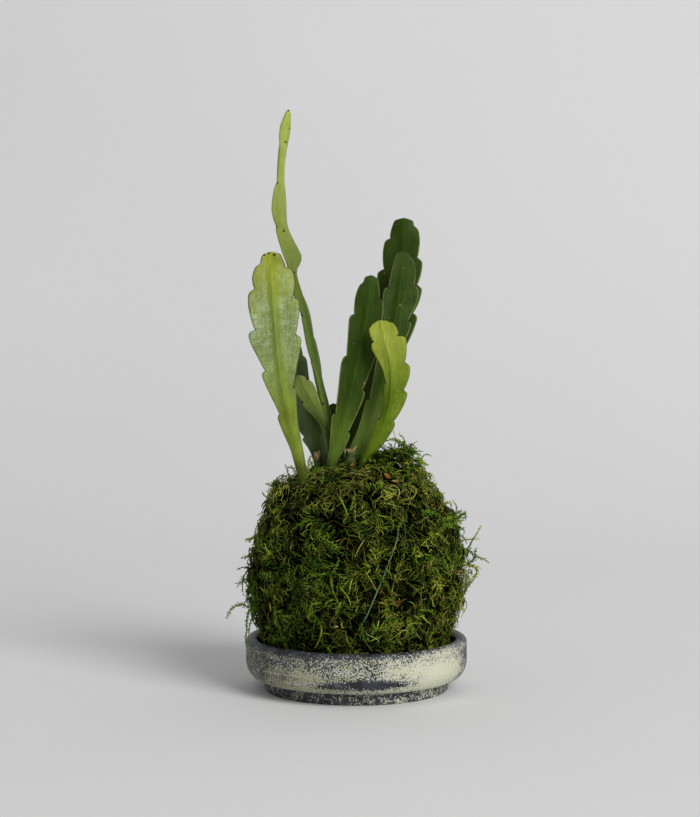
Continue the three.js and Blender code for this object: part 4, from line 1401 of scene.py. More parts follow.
def sprouting(root, random, length, slope, turn, stations):
    """The lines of curled shoots that grow from roots. length in millimetres, slope away from the ground
    and turn in radians are (least, most). Returns the lines, the ways across their planes, and the height
    of each station over the even ground. Shoots that the thread presses are flatter and shorter."""
    number = len(root["tint"])
    out, free = root["out"], 1 - root["pressed"]
    way = unit(root["lean"] + (random.uniform(*slope, number) * (0.2 + 0.8 * free))[:, None] * out)
    aside = random.normal(0, 0.8, (number, 1)) * np.cross(way, out)
    bend = square_to(aside - random.uniform(0.2, 1.2, (number, 1)) * out, way)
    start = root["at"] + out * root["rise"][:, None]
    long = random.uniform(*length, number) * (0.7 + 0.3 * free)
    wave = random.normal(0, 0.35, number)
    lines = curled_lines(start, way, bend, long, random.uniform(*turn, number), wave, stations)
    height = root["rise"][:, None] + np.einsum("nsk,nk->ns", lines - start[:, None], out)
    return keep_off_saucer(lines), np.cross(way, bend), height


def tinted_strands(lines, radii, tint, height, *shape, **section):
    """Strands as a surface whose points know their tint, their share of the length and their height over
    the ground. tint has one number for each strand, and height one for each station."""
    points, triangles, station = strands(lines, radii, *shape, **section)
    values = {
        "tint": np.repeat(tint, len(station)),
        "along": np.tile(np.linspace(0, 1, station[-1] + 1)[station], len(tint)),
        "lifted": height[:, station].ravel(),
    }
    return points, triangles, values


def clear_of_thread(least, lines, *others):
    """Only the lines, and what goes with them, that keep the least distance from the thread that shows."""
    clear = (thread_distance(lines) > least).all(axis=1)
    return [value[clear] for value in (lines, *others)]


def curls(count, seed, deep, length, slope, turn, radius, keep=None):
    """Single curled shoots, thickest in the middle."""
    random = np.random.default_rng(seed + 500)
    root = roots(count, seed, deep, keep)
    lines, across, height = sprouting(root, random, length, slope, turn, stations=len(CURL_RINGS) + 2)
    lines, across, height, tint = clear_of_thread(CURL_CLEAR, lines, across, height, root["tint"])
    radii = random.uniform(*radius, (len(lines), 1)) * CURL_RINGS
    return tinted_strands(lines, radii, tint, height, across[:, None])


def feathers(count, seed, deep, length, slope, turn, leaf, radius, keep=None, leaflets=7):
    """Curled shoots with leaflets, left and right in turn. A leaflet is a spindle of six faces that points
    forwards and is bowed towards the tip. The number of leaflets is odd."""
    d = LEAFLET
    random = np.random.default_rng(seed + 500)
    root = roots(count, seed, deep, keep)
    lines, across, height = sprouting(root, random, length, slope, turn, stations=leaflets + 2)
    with_lines = (across, height, root["tint"], root["out"])
    lines, across, height, tint, out = clear_of_thread(FEATHER_CLEAR, lines, *with_lines)
    number = len(lines)
    thick = random.uniform(*radius, (number, 1))
    taper = np.linspace(1.05, 0.6, (leaflets - 1) // 2)
    main = tinted_strands(lines[:, ::2], thick * taper, tint, height[:, ::2], across[:, None])

    base = lines[:, 1:-1]
    heading = unit(lines[:, 2:] - lines[:, :-2])
    side = unit(np.cross(heading, out[:, None]))
    sign = np.where(np.arange(leaflets) % 2, 1.0, -1.0)[None, :, None]
    tilt = random.normal(d["out"], d["out_spread"], (number, leaflets, 1))
    ways = unit(d["forwards"] * heading + sign * side + tilt * out[:, None])
    share = np.linspace(d["from"], d["to"], leaflets)[None, :, None]
    uneven = random.uniform(d["least"], d["most"], (number, leaflets, 1))
    reach = random.uniform(*leaf, (number, 1, 1)) * (d["length"] - d["fall"] * share) * uneven
    tip = base + ways * reach + d["tip"] * heading * reach
    middle = base + 0.5 * ways * reach
    leaves = keep_off_saucer(np.stack([base, middle, tip], axis=2).reshape(-1, 3, 3))
    leaf_tint = np.repeat(tint, leaflets) + random.normal(0, d["tint_spread"], number * leaflets)
    leaf_thick = np.repeat(thick, leaflets, axis=1).reshape(-1, 1) * d["thick"]
    leaf_height = np.repeat(height[:, 1:-1].reshape(-1, 1), 3, axis=1)
    points, triangles, values = tinted_strands(leaves, leaf_thick, np.clip(leaf_tint, 0, 1), leaf_height)
    shares = np.repeat(np.tile(share.ravel(), number), len(points) // len(leaves))
    values["along"] = 0.5 * values["along"] + 0.5 * shares
    return join([main, (points, triangles, values)])


# %% [markdown]
# ## Moss colours
# One shoot runs from brown at its old root to yellow-green at its young tip, tussocks differ from bottle
# green over olive to straw, and what lies deep between the shoots is painted darker, nearly black, as the
# shade there. The group mixes all that from the shoot's tint, the share of its length and its height over the
# ground, and each kind of moss gives it its own colours.

# %% Moss colours
MOSS_VALUES = ("Tint", "Along", "Lifted")  # the attributes of the strands, with capitals
MOSS_COLOURS = ("Deep", "Middle", "Light", "Tip", "Root")
TIP_AMOUNT = 0.45
# Shares of the length over which the root's brown ends and the tip's colour begins
ROOT_END, TIP_START = (0.0, 0.4), (0.55, 1.0)
# Painted shade among the shoots: from the first height over the ground to the second the light goes from the
# third number to the fourth
PAINTED_DEPTH_SHADE = (-2.6, 3.8, 0.06, 1.3)


def moss_group():
    """A shoot's colour and its relief, from what the strands and each kind of moss give."""
    outputs = ("Color", "Height")
    tree, given, result = new_group("moss_tint", MOSS_VALUES, MOSS_COLOURS, outputs)
    place = object_place(tree)
    leafy = noise(tree, place, 0.5, detail=2, rough=0.7)
    patches = noise(tree, place, 12, detail=2)
    tint = plus(tree, given["Tint"], fade(tree, patches, 0.3, 0.7, -0.2, 0.2))
    colour = given["Deep"]
    for mask, layer in (
        (fade(tree, tint, 0.05, 0.5), "Middle"),
        (fade(tree, tint, 0.5, 0.95), "Light"),
        (fade(tree, given["Along"], *ROOT_END, 0.85, 0), "Root"),
        (times(tree, fade(tree, given["Along"], *TIP_START), TIP_AMOUNT), "Tip"),
    ):
        colour = mix(tree, mask, colour, given[layer])
    # Painted shade: the lower a point lies among the shoots, the darker it is
    light = times(tree, fade(tree, leafy, 0.28, 0.72, 0.25, 1.85), fade(tree, given["Lifted"], *PAINTED_DEPTH_SHADE))
    connect(tree, zip(outputs, (shaded(tree, colour, light), leafy)), result)
    return tree


MOSS_TINT = moss_group()


def moss_material(name, rough, *colours):
    """One kind of moss: the shared tinting with this kind's colours."""
    material, tree, shader = new_material(name)
    tinting = node(tree, "ShaderNodeGroup", node_tree=MOSS_TINT)
    connect(tree, {key: attribute(tree, key.lower()) for key in MOSS_VALUES}, tinting.inputs)
    connect(tree, {key: linear(*colour) for key, colour in zip(MOSS_COLOURS, colours)}, tinting.inputs)
    looks = {"Base Color": tinting.outputs["Color"], "Roughness": rough, "Specular IOR Level": 0.08}
    finish_shader(tree, shader, looks, tinting.outputs["Height"], depth=0.2)
    return material


# For each kind of moss: its material's name, how rough it is, and its colours in the order of their names
MOSS_KINDS = {
    "olive": ("olive_moss", 0.6, (26, 33, 8), (93, 103, 22), (158, 163, 60), (192, 194, 100), (27, 23, 7)),
    "green": ("green_moss", 0.6, (14, 31, 7), (64, 94, 17), (114, 141, 38), (148, 169, 66), (19, 23, 6)),
    # The deep and shaded kinds are darker copies of the moss colours: painted shade for the curls that lie
    # low among the others
    "deep": ("deep_moss", 0.8, (12, 18, 4), (33, 40, 9), (56, 60, 18), (69, 74, 22), (14, 12, 5)),
    "shaded": ("shaded_moss", 0.7, (18, 24, 5), (48, 61, 14), (88, 98, 32), (107, 115, 46), (18, 15, 5)),
    "straw": ("straw_moss", 0.6, (92, 92, 34), (130, 126, 58), (170, 162, 96), (184, 178, 112), (60, 48, 20)),
    "dry": ("dry_brown", 0.6, (60, 38, 14), (112, 76, 34), (164, 134, 80), (176, 150, 100), (56, 36, 14)),
}
MOSS_MATERIALS = {kind: moss_material(*look) for kind, look in MOSS_KINDS.items()}

# %% [markdown]
# ## The moss itself
# The layers grow outwards: short curls in the darkest colours fill the gaps and ones in shaded colours cover
# the felt, both dark as painted shade, then come curls and feathery shoots of the olive kind, and those of
# the green kind stand among them, where green_share says so.

# %% The moss itself
HUMP_TOP, HUMP_REACH = (20, -5, 124), 13


def olive_places(points):
    """The share of olive shoots that grow at each place."""
    return 1 - 0.7 * green_share(points)


def green_places(points):
    """The share of green shoots."""
    return 0.15 + 0.85 * green_share(points)


def on_hump(points):
    """1 on top of the hump beside the stems, falling to nothing round it."""
    return bells(points, [(HUMP_TOP, HUMP_REACH, 1.0)])


def hanging_places(points):
    """The share of long shoots: most low on the left of the front, some everywhere."""
    return 0.2 + 0.8 * smoothstep(-points[:, 0], -6, 22) * smoothstep(-points[:, 2], -84, -58)


def grow(name, surface, kind):
    """Makes a piece of moss."""
    build_piece(name, surface, MOSS_MATERIALS[kind], ["moss_cover"])


# Each layer: its piece, its kind and its batches. A batch is how its shoots are made, how many, the seed, how
# deep, and as (least, most) the lengths, the slopes, the turns, the leaflets' lengths for feathers and the
# radii. Then where the shoots grow, if not everywhere, and how many leaflets they have, if not seven
CURL_RADII, FINE_RADII = (0.36, 0.56), (0.25, 0.47)
LAYERS = [
    ("moss_deep_curls", "deep", [(curls, 5400, 100, 3.0, (4, 8), (0.3, 1.4), (0.4, 2.2), CURL_RADII)]),
    ("moss_under_curls", "shaded", [(curls, 3600, 150, 1.6, (4, 8), (0.2, 1.0), (0.6, 2.4), CURL_RADII)]),
    ("moss_olive_curls", "olive", [
        (curls, 9800, 200, 0.4, (4, 9), (0.2, 1.1), (0.9, 2.9), FINE_RADII, olive_places),
    ]),
    ("moss_green_curls", "green", [
        (curls, 10600, 300, 0.4, (4, 9), (0.2, 1.1), (0.7, 2.5), FINE_RADII, green_places),
    ]),
    ("moss_olive_feathers", "olive", [
        (feathers, 3300, 400, 0.8, (6, 10), (0.1, 0.7), (0.4, 1.6), (1.3, 2.6), (0.24, 0.36), olive_places),
    ]),
    ("moss_green_feathers", "green", [
        (feathers, 3600, 500, 0.6, (6, 11), (0.1, 0.8), (0.3, 1.5), (1.3, 2.8), (0.24, 0.38), green_places),
    ]),
    ("moss_hump_shoots", "olive", [
        (curls, 10500, 870, 1.2, (4, 7), (0.3, 1.4), (0.6, 2.4), CURL_RADII, on_hump),
        (curls, 14000, 800, -1.6, (4, 7), (0.3, 1.3), (0.6, 2.4), (0.32, 0.52), on_hump),
    ]),
    ("moss_hump_feathers", "green", [
        (feathers, 14000, 850, -2.2, (5, 9), (0.3, 1.2), (0.3, 1.6), (1.4, 2.8), (0.28, 0.42), on_hump),
    ]),
    ("moss_long_shoots", "green", [
        (feathers, 900, 900, -0.8, (12, 20), (0.05, 0.3), (0.3, 1.3), (1.6, 3.2), (0.3, 0.44),
         hanging_places, 11),
    ]),
]
for name, kind, batches in LAYERS:
    grow(name, join([make(*shoots) for make, *shoots in batches]), kind)

# %% [markdown]
# ## Wiry strands
# Between the shoots grow thin stiff strands. Each one starts in the backing, leans the way of its place
# and bends a little. They keep off the thread where it shows.

# %% Wiry strands
WIRE_RINGS = np.array([0.9, 1.0, 1.0, 0.9, 0.8, 0.6])  # a wire's radius along its length, as shares
WIRE_CLEAR = 1.2  # least distance from the thread that shows
WIRE_GROUND = 0.8


def wires(count, seed, length, radius, bow, keep=None):
    """Long thin strands that wander: each keeps its lean but swings to the sides and in and out as slow
    waves, and both ends dip into the moss."""
    random = np.random.default_rng(seed + 700)
    root = roots(count, seed, 0.0, keep)
    out, lean, number = root["out"][:, None], root["lean"][:, None], len(root["tint"])
    side = np.cross(out, lean)
    s = np.linspace(0, 1, len(WIRE_RINGS) + 2)[None, :, None]
    long = random.uniform(*length, (number, 1, 1))
    phase = random.random((2, number, 1, 1))
    swing = random.normal(0, 0.24, (number, 1, 1)) * np.sin(2 * np.pi * (s + phase[0]))
    rising = random.uniform(*bow, (number, 1, 1)) * np.sin(np.pi * s**0.8)
    rising = rising + 0.05 * np.sin(4 * np.pi * (s + phase[1]))
    height = WIRE_GROUND + 0.6 * root["rise"][:, None, None] + long * (rising - 0.12 * s**2)
    lines = root["at"][:, None] + long * (s * lean + swing * side) + height * out
    lines, tint, height = clear_of_thread(WIRE_CLEAR, lines, root["tint"], height[..., 0])
    radii = random.uniform(*radius, (len(lines), 1)) * WIRE_RINGS
    return tinted_strands(keep_off_saucer(lines), radii, tint, height)


def near_stems(points):
    """1 round the foot of the stems and on the top front, falling to a small share lower down."""
    return 0.12 + 0.88 * smoothstep(points[:, 2], 92, 112) * smoothstep(-points[:, 1], -20, 10)


grow("moss_wiry_strands", wires(1300, 600, (6, 13), (0.15, 0.26), (0.02, 0.22)), "olive")
grow("moss_straw_strands", wires(3400, 650, (5, 12), (0.15, 0.26), (0.02, 0.25), near_stems), "straw")

# %% [markdown]
# ## Sprigs that stand out
# Against the pale background single sprigs stand out of the ball: a long arc low on the left and two that
# hang over the rim below it, a tangle on the right with a stiff one above, and hooks on the hump. Each is a
# strand along a smooth path through a few points, set all round with small leaves like a bottle brush.

# %% Sprigs that stand out
# Points of the path from its root to its tip, the strand's radius and the length of its leaves
GREEN_SPRIGS = [
    ([(-52, -9, 46), (-58, -11, 45.5), (-62, -11.5, 47), (-65.5, -12.5, 46), (-68, -13, 43.5),
      (-69.5, -14, 40.5)], 0.34, 1.5),
    ([(-51, -8, 62), (-55.5, -8, 65), (-59.5, -8.5, 66.5), (-62, -9, 66.5), (-64, -9, 65.5)], 0.36, 0.7),
    ([(-51, -10, 66), (-55, -10.5, 63.5), (-58.5, -11, 61), (-61, -11.5, 59.5), (-63.5, -12, 58)], 0.34, 2.0),
    ([(-52, -14, 60), (-57.5, -14.5, 57), (-58.5, -15.5, 54), (-58.5, -16, 49)], 0.34, 1.3),
    ([(-50, -17, 50), (-57, -18.5, 45), (-58.5, -19, 40.5), (-58.5, -19, 35), (-59, -19.5, 30.5),
      (-59, -20, 26)], 0.36, 1.0),
    ([(-48, -20, 49), (-54.5, -20.5, 44), (-56, -21, 40.5), (-57, -21.5, 36.5), (-57.5, -22, 33)], 0.36, 0.9),
    ([(47, -8, 91), (53, -8.5, 92.5), (56, -9, 94.5), (58.5, -9.5, 96.5)], 0.5, 1.8),
    ([(47, -8, 92), (53, -8.5, 94.5), (54.5, -8.5, 96.2), (56, -9, 97)], 0.5, 1.6),
    ([(47, -8, 92), (54, -9, 93.5), (57, -9.5, 95.5), (58.8, -10, 95.2), (58.5, -10, 93.5)], 0.5, 1.5),
    ([(46, -10, 92), (51, -11, 93.5), (55, -11.5, 94.5)], 0.5, 1.8),
    ([(48, -11, 89), (53, -12, 91), (57, -12.5, 92.5)], 0.5, 1.8),
    ([(49, -8, 92), (55.5, -8.5, 88), (57.5, -9, 87.5)], 0.3, 1.2),
    ([(51, -6, 78), (60.5, -6.5, 75), (63.5, -7, 73), (66.5, -8, 71.5), (69, -8.5, 71),
      (70.5, -9, 69.5)], 0.28, 1.6),
    ([(60, -6, 68), (63.5, -6.5, 71), (64, -6.5, 74.5), (64, -7, 76)], 0.28, 1.4),
    ([(22, -6, 123), (26, -8, 127), (26, -9, 131.5), (24.5, -10, 134), (23, -11, 135), (21, -12, 136),
      (18.5, -13, 136), (15.5, -14, 135)], 0.3, 1.3),
    ([(25, -8, 129), (26, -9.5, 134.5), (24.5, -10.5, 137), (23, -11, 138.5)], 0.3, 0.8),
    ([(23, -5, 123), (25, -7, 129.5), (24, -7.5, 132), (22.5, -8, 134), (21.5, -9, 135.5)], 0.26, 0.8),
    ([(29, -6, 117), (34.5, -6.5, 123), (35, -7, 125), (36.5, -7, 127), (38, -7.5, 127.5),
      (40.5, -8, 126.5)], 0.36, 0.5),
    ([(31, -5, 118), (35.5, -5, 118.5), (37.5, -5.5, 116.5), (39.5, -6, 115), (39.5, -6, 113)], 0.36, 1.2),
]
OLIVE_SPRIGS = [
    ([(-50, -8, 85), (-55, -8.5, 83), (-57.5, -8.5, 82), (-59.5, -9, 81.5)], 0.7, 1.2),
    ([(-50, -8, 72), (-56, -8.5, 73), (-58.5, -9.5, 72.5), (-61.5, -10, 72)], 0.6, 1.3),
    ([(-50, -6, 74), (-55, -6.5, 76), (-57.5, -7, 76.5)], 0.3, 1.2),
    ([(-42, -8, 101), (-48.5, -8.5, 104.5), (-49.5, -8.5, 105.5), (-50.5, -9, 107.5)], 0.3, 0.8),
    ([(-40, -8, 105), (-45, -8.5, 109.5), (-46, -8.5, 111), (-48, -9, 111.5)], 0.26, 1.4),
    ([(-40, -8, 108), (-45, -8.5, 112), (-42.5, -9, 113.5)], 0.34, 1.4),
    ([(-34, -10, 111), (-36, -10.5, 116.5), (-37, -11.5, 119), (-38, -12, 122)], 0.24, 0.8),
    ([(-31, -10, 114), (-34, -11, 120.5), (-36.5, -12, 121)], 0.28, 1.4),
    ([(47, -5, 93), (53, -6, 95.5), (54, -6.5, 98), (53.5, -7, 100.5), (52, -7, 102.5)], 0.3, 0.6),
    ([(53, -5, 70), (60, -7, 76.5), (62.5, -7.5, 81), (65, -8, 85), (67, -9, 89)], 0.46, 0.8),
    ([(53, -7, 80), (59.5, -7.5, 81.5), (62.5, -7.5, 81.5), (65.5, -8, 82)], 0.24, 0.7),
    ([(52, -8, 70), (59.5, -8.5, 67.5), (62.5, -9, 67), (65, -9.5, 66.5), (66.5, -10, 66)], 0.36, 0.9),
    ([(60, -8, 68), (64, -9, 66.5), (65, -9.5, 64), (63, -10.5, 60.5), (60.5, -11, 57.5), (58.5, -12, 54),
      (57, -12.5, 50.5), (56, -13.5, 47.5), (57.5, -14, 44)], 0.38, 1.3),
    ([(48, -11, 58), (53.5, -12.5, 50.5), (54, -13, 45.5), (53, -13.5, 40.5), (54.5, -14, 37.5)], 0.32, 1.1),
    ([(46, -16, 54), (50.5, -16.5, 45.5), (50, -17, 41.5)], 0.3, 1.0),
    ([(51, -8, 52), (57, -8.5, 57), (59, -9, 61)], 0.26, 1.0),
    ([(20, -10, 130), (21, -11, 135.5), (20.5, -11.5, 138.5), (19.5, -12, 141)], 0.24, 0.3),
    ([(25, -8, 128), (26.5, -8.5, 131.5), (28, -9, 133)], 0.26, 0.4),
    ([(29, -5, 121), (30.5, -5.5, 127.5), (29, -6, 130), (29.5, -6, 132.5), (31, -6.5, 133.5),
      (33, -7, 134.5)], 0.2, 0.4),
    ([(29, -5.5, 130), (30.5, -5.5, 131), (33, -6, 131)], 0.15, 0.3),
    ([(35, -6, 125), (35.5, -6.5, 124), (37, -6.5, 122), (38.5, -7, 122)], 0.18, 0.4),
    ([(36, -5, 110), (40, -5.5, 111.5), (42, -5.5, 111), (42, -6, 109.5)], 0.3, 0.8),
    ([(34, -6, 115), (37.5, -7, 117.5), (39.5, -7.5, 116.5), (40, -8, 114.5), (39, -8, 113)], 0.46, 0.6),
    ([(37, -7, 109), (41.5, -8, 111.5), (42.5, -8, 109.5), (42.3, -8, 107.5)], 0.26, 0.5),
    ([(41, -7, 104), (45, -8, 106.5), (46.6, -8, 105.5), (46.4, -8, 103)], 0.36, 0.9),
    ([(44, -7, 98), (48.5, -8, 101.5), (50.5, -8, 101.5), (51, -8, 99.5)], 0.36, 1.0),
]
# Strands that lie on the front: points of the path, which only give its place on the moss, and the same
LYING_GREEN = [
    ([(44, -27, 92), (48, -22, 91), (52, -14, 91)], 0.4, 2.0),
    ([(-11, -37, 109), (-10, -39, 107.5), (-8, -42, 105), (-6, -45, 102), (-4.5, -47, 98)], 0.36, 0.3),
    ([(-42, -34, 54), (-40.5, -35, 47), (-38, -36, 38.5), (-35.5, -35, 32), (-35, -33, 28)], 0.36, 1.2),
    ([(-29, -45, 58), (-26.5, -47, 54), (-24, -48, 49.5), (-23, -48, 45.5), (-21.5, -48, 43.5)], 0.34, 1.2),
    ([(-28, -46, 75.5), (-24, -48, 74.5), (-20, -50, 73), (-15, -51.5, 73), (-9.5, -53, 74)], 0.4, 1.8),
    ([(-26, -47, 72.5), (-23, -49, 70), (-19, -50.5, 69), (-14.5, -52, 69.5)], 0.34, 1.6),
    ([(42, -29.5, 91.5), (45.5, -26.5, 94), (50, -16, 95), (51, -8, 94)], 0.4, 1.9),
    ([(33, -35, 99.5), (36.5, -34, 99.5), (40.5, -30, 98.5), (44, -23.5, 95.5)], 0.4, 1.8),
    ([(35, -44, 79), (40, -40, 76), (45, -35, 73), (50, -28, 69)], 0.4, 2.0),
    ([(-0.5, -39.5, 108), (-1.5, -43, 105), (-3, -45.5, 101)], 0.36, 0.8),
    ([(9.5, -53, 68.5), (12.5, -52.5, 66.5), (15, -52, 63.5), (16.5, -51.5, 59.5)], 0.34, 1.0),
    ([(1.5, -53, 44.5), (3, -52, 39), (5, -50.5, 33.5), (7.5, -48.5, 30)], 0.36, 1.0),
]
LYING_OLIVE = [
    ([(20.5, -38.5, 105), (25, -37.5, 106), (29, -35, 107), (31, -30.5, 109), (32.5, -24.5, 112)], 0.56, 0.1),
    ([(-13, -52, 70), (-12.5, -52.5, 66), (-11.5, -53, 61), (-10, -53, 57), (-8, -53, 52)], 0.44, 0.6),
    ([(-9.5, -53, 65), (-7.5, -53.5, 62), (-5, -54, 59), (-3.5, -54, 56), (-3, -54, 53)], 0.36, 0.3),
    ([(-21, -49, 44.5), (-18, -50, 44), (-17, -49.5, 41), (-17.5, -48.5, 37.5), (-19, -47, 34),
      (-21, -44, 30)], 0.46, 0.5),
    ([(26, -45, 39.5), (26, -46, 42.5), (28, -45, 43.5), (30.5, -43, 43), (33, -41, 42)], 0.4, 0.6),
    ([(-6, -52, 39), (-4, -51, 34.5), (-2, -49.5, 31)], 0.38, 0.5),
]
LYING_STRAW = [
    ([(4.5, -51, 87.5), (1.5, -52.5, 83), (-1, -53, 78)], 0.34, 0.1),
    ([(4, -53.5, 71.5), (7, -53.5, 66), (10.5, -53, 60)], 0.32, 0.1),
    ([(15, -35.5, 109), (18, -32, 110.5), (21, -33, 108.5), (21, -37.5, 105)], 0.32, 0.1),
    ([(8, -43, 103.5), (12, -40, 106), (16.5, -35, 109)], 0.3, 0.1),
]
# Shoots that stand in the gap between the feet of the pale stem and the dark one behind it
FOOT_SPRIGS = [
    ([(-27, -10, 112), (-26, -10, 121), (-25.4, -10, 125), (-24.4, -10, 126.6),
      (-23.2, -10, 125.6)], 0.3, 0.9),
    ([(-28, -12, 112), (-26.8, -12, 118), (-25.6, -12, 121.5), (-24.4, -12, 123)], 0.3, 1.3),
    ([(-22.5, -8, 113), (-23, -8, 119), (-23.8, -8, 122.5), (-25, -8.5, 124)], 0.28, 1.3),
]
LYING_HEIGHT = 3.4
SPRIG_STEP = 0.4
# A sprig's strand: how thick it starts and how much it thins, its sides, and the height over the ground that
# its colour is mixed for
SPRIG = {"thick": 1.3, "thin": 0.55, "sides": 5, "height": 3.0}
SPRIG_LEAF = {
    "forwards": 0.9,  # how much of its heading is the strand's own, beside 1 outwards
    "length": 1.35,  # for each millimetre in the table, and what all have more
    "extra": 0.4,
    "least": 0.5,  # how much the lengths differ
    "most": 1.4,
    "shorten": 0.45,  # towards the tip of the strand
    "thick": 0.34,  # for each millimetre of its length, and at most
    "thickest": 0.36,
    "middle": 0.55,
    "bow": 0.25,
    "tint_spread": 0.15,
}


def sprig_surface(knots, radius, leaf, seed):
    """The strand thins towards its tip. At every step one leaf leaves it, a golden turn round from the leaf
    before, pointing half forwards and half outwards."""
    d = SPRIG_LEAF
    random = np.random.default_rng(seed)
    path, along = smooth_path(knots, SPRIG_STEP)
    number = len(path)
    share = np.linspace(0, 1, number)
    across = unit(np.cross(along, [0.3, 0.4, 0.87]))
    radii = SPRIG["thick"] * radius * (1 - SPRIG["thin"] * share[None, 1:-1])
    tint = random.uniform(0.3, 0.8)
    height = np.full((number, 3), SPRIG["height"])
    main = tinted_strands(path[None], radii, [tint], height[None, :, 0], across[None], SPRIG["sides"])

    turns = GOLDEN_TURN * np.arange(number)[:, None]
    around = np.cos(turns) * across + np.sin(turns) * np.cross(along, across)
    ways = unit(d["forwards"] * along + around)
    uneven = random.uniform(d["least"], d["most"], (number, 1))
    reach = (d["length"] * leaf + d["extra"]) * uneven * (1 - d["shorten"] * share[:, None])
    middle, tip = path + d["middle"] * ways * reach, path + (ways + d["bow"] * along) * reach
    leaves = np.stack([path, middle, tip], axis=1)
    radii = np.minimum(d["thickest"], d["thick"] * reach)
    leaf_tint = np.clip(tint + random.normal(0, d["tint_spread"], number), 0, 1)
    return join([main, tinted_strands(leaves, radii, leaf_tint, height)])


def lying(knots):
    """The knots moved onto the moss: each where its way from the ball's centre comes out, lifted over it in
    the middle of the strand and less at its ends."""
    ways = unit(np.array(knots, float) - [0, 0, BALL["centre"]])
    lift = LYING_HEIGHT * (0.35 + 0.65 * np.sin(np.pi * np.linspace(0, 1, len(ways))))
    return moss_ground(ways, lift)[0]


for name, kind, standing, flat, at_foot in (
    ("moss_green_sprigs", "green", GREEN_SPRIGS, LYING_GREEN, []),
    ("moss_olive_sprigs", "olive", OLIVE_SPRIGS, LYING_OLIVE, FOOT_SPRIGS),
    ("moss_straw_sprigs", "straw", [], LYING_STRAW, []),
):
    sprigs = standing + [(lying(knots), radius, leaf) for knots, radius, leaf in flat] + at_foot
    grow(name, join([sprig_surface(*sprig, 31 + number) for number, sprig in enumerate(sprigs)]), kind)

# %% [markdown]
# ## Leaves and dry bits
# Broader leaves of another plant stick out low on the front, and reddish brown flakes of bark and old leaf
# are caught in the moss. Each is a strand that is wide across and thin through. Two stumps of stems that
# were cut off stand among the others, green at the side and tan where the cut has dried.

# %% Leaves and dry bits
BIT_RINGS = np.array([0.75, 1.0, 0.9, 0.5])  # a flat bit's width along its length, as shares
BIT = {
    "bow": 0.15,
    "sides": 4,
    "flat": 0.25,
    "height": 3.0,  # over the ground, which its colour is mixed for
    "turned": 0.8,  # how far the placed ones turn to the front, and tilt out of the moss
    "tilt": 0.12,
}
SCATTERED = {"length": (2.2, 4.5), "width": (0.8, 1.8), "slope": (-0.1, 0.3), "roll": 0.3, "over": 0.8}


def flat_bits(start, way, across, length, width, tint):
    """Flat spindles: four rings of four points, a quarter as thick as they are wide, bowed a little."""
    s = np.linspace(0, 1, len(BIT_RINGS) + 2)[None, :, None]
    up = np.cross(way, across)[:, None]
    lines = start[:, None] + length[:, None, None] * (s * way[:, None] + BIT["bow"] * np.sin(np.pi * s) * up)
    radii = 0.5 * width[:, None] * BIT_RINGS
    height = np.full(lines.shape[:2], BIT["height"])
    return tinted_strands(lines, radii, tint, height, across[:, None], BIT["sides"], BIT["flat"])


# A point near the middle, the slant in degrees from level, the length, the width and the tint
BROAD_LEAVES = [
    ((4.5, -52, 38.5), 115, 8, 2.2, 0.2),
    ((8.5, -52, 41.5), 70, 7.5, 3.3, 0.3),
    ((12, -50, 38), 35, 5, 1.6, 0.7),
]
FRONT_FLAKES = [
    ((16.5, -29.5, 118), -40, 5.0, 3.2, 0.62),
    ((20.5, -31, 115.5), -3, 4.6, 1.1, 0.98),
    ((27, -16.5, 124), 20, 3.4, 1.2, 0.75),
    ((30, -21.5, 117.5), -70, 2.4, 1.1, 0.6),
    ((36.5, -26, 108.5), 30, 2.3, 1.1, 0.9),
    ((40, -28.5, 103), -30, 2.4, 1.0, 0.35),
    ((41, -29, 101.2), -15, 2.0, 0.8, 0.85),
    ((45, -24.5, 99), 15, 2.2, 0.9, 0.4),
    ((29.5, -42, 99), 0, 1.8, 0.8, 0.45),
    ((46, -32.5, 84), -50, 2.2, 0.9, 0.3),
    ((56, -17, 74.5), 40, 2.6, 1.2, 0.5),
    ((56, -18.5, 66), -10, 3.2, 1.6, 0.25),
    ((23, -52.5, 74), 10, 2.0, 0.8, 0.35),
    ((21, -54, 54.2), 12, 8, 1.3, 0.3),
    ((24, -53, 54.9), 22, 5, 1.0, 0.45),
    ((19, -54.5, 53.2), -4, 6, 0.9, 0.2),
    ((22, -54, 52.6), 30, 3.4, 0.7, 0.35),
    ((12.6, -56, 60.5), 40, 2.0, 1.2, 0.3),
    ((14, -56, 59.4), -60, 1.8, 0.9, 0.25),
    ((18.3, -55, 59), 75, 2.4, 1.3, 0.55),
    ((-10.5, -55.5, 41.5), -5, 3.2, 1.1, 0.7),
    ((-40.5, -21.5, 109.5), 60, 3.4, 1.2, 0.35),
    ((-36, -28, 96), 20, 3.4, 1.1, 0.3),
    ((-14, -16.5, 122), 78, 4.2, 2.2, 0.85),
    ((-2.5, -17.5, 123), 60, 3.6, 1.8, 0.4),
]


def placed_bits(places, raised):
    """Flat bits on the moss, each where the way from the ball's centre to its point leaves the moss, at its
    slant and tilted a little out of it. On the top they are propped up by shoots and turn to the front."""
    ways = unit(np.array([place[0] for place in places], float) - [0, 0, BALL["centre"]])
    at, out = moss_ground(ways, np.full(len(ways), raised))
    out = unit(out + [0, -BIT["turned"], 0])
    slant, length, width, tint = np.array([place[1:] for place in places], float).T
    slant = np.radians(slant)[:, None]
    level = unit(np.cross([0, 0, 1.0], -out))
    way = unit(np.cos(slant) * level + np.sin(slant) * np.cross(level, -out) + BIT["tilt"] * out)
    start = at - 0.5 * length[:, None] * way
    return flat_bits(start, way, unit(np.cross(way, out)), length, width, tint)


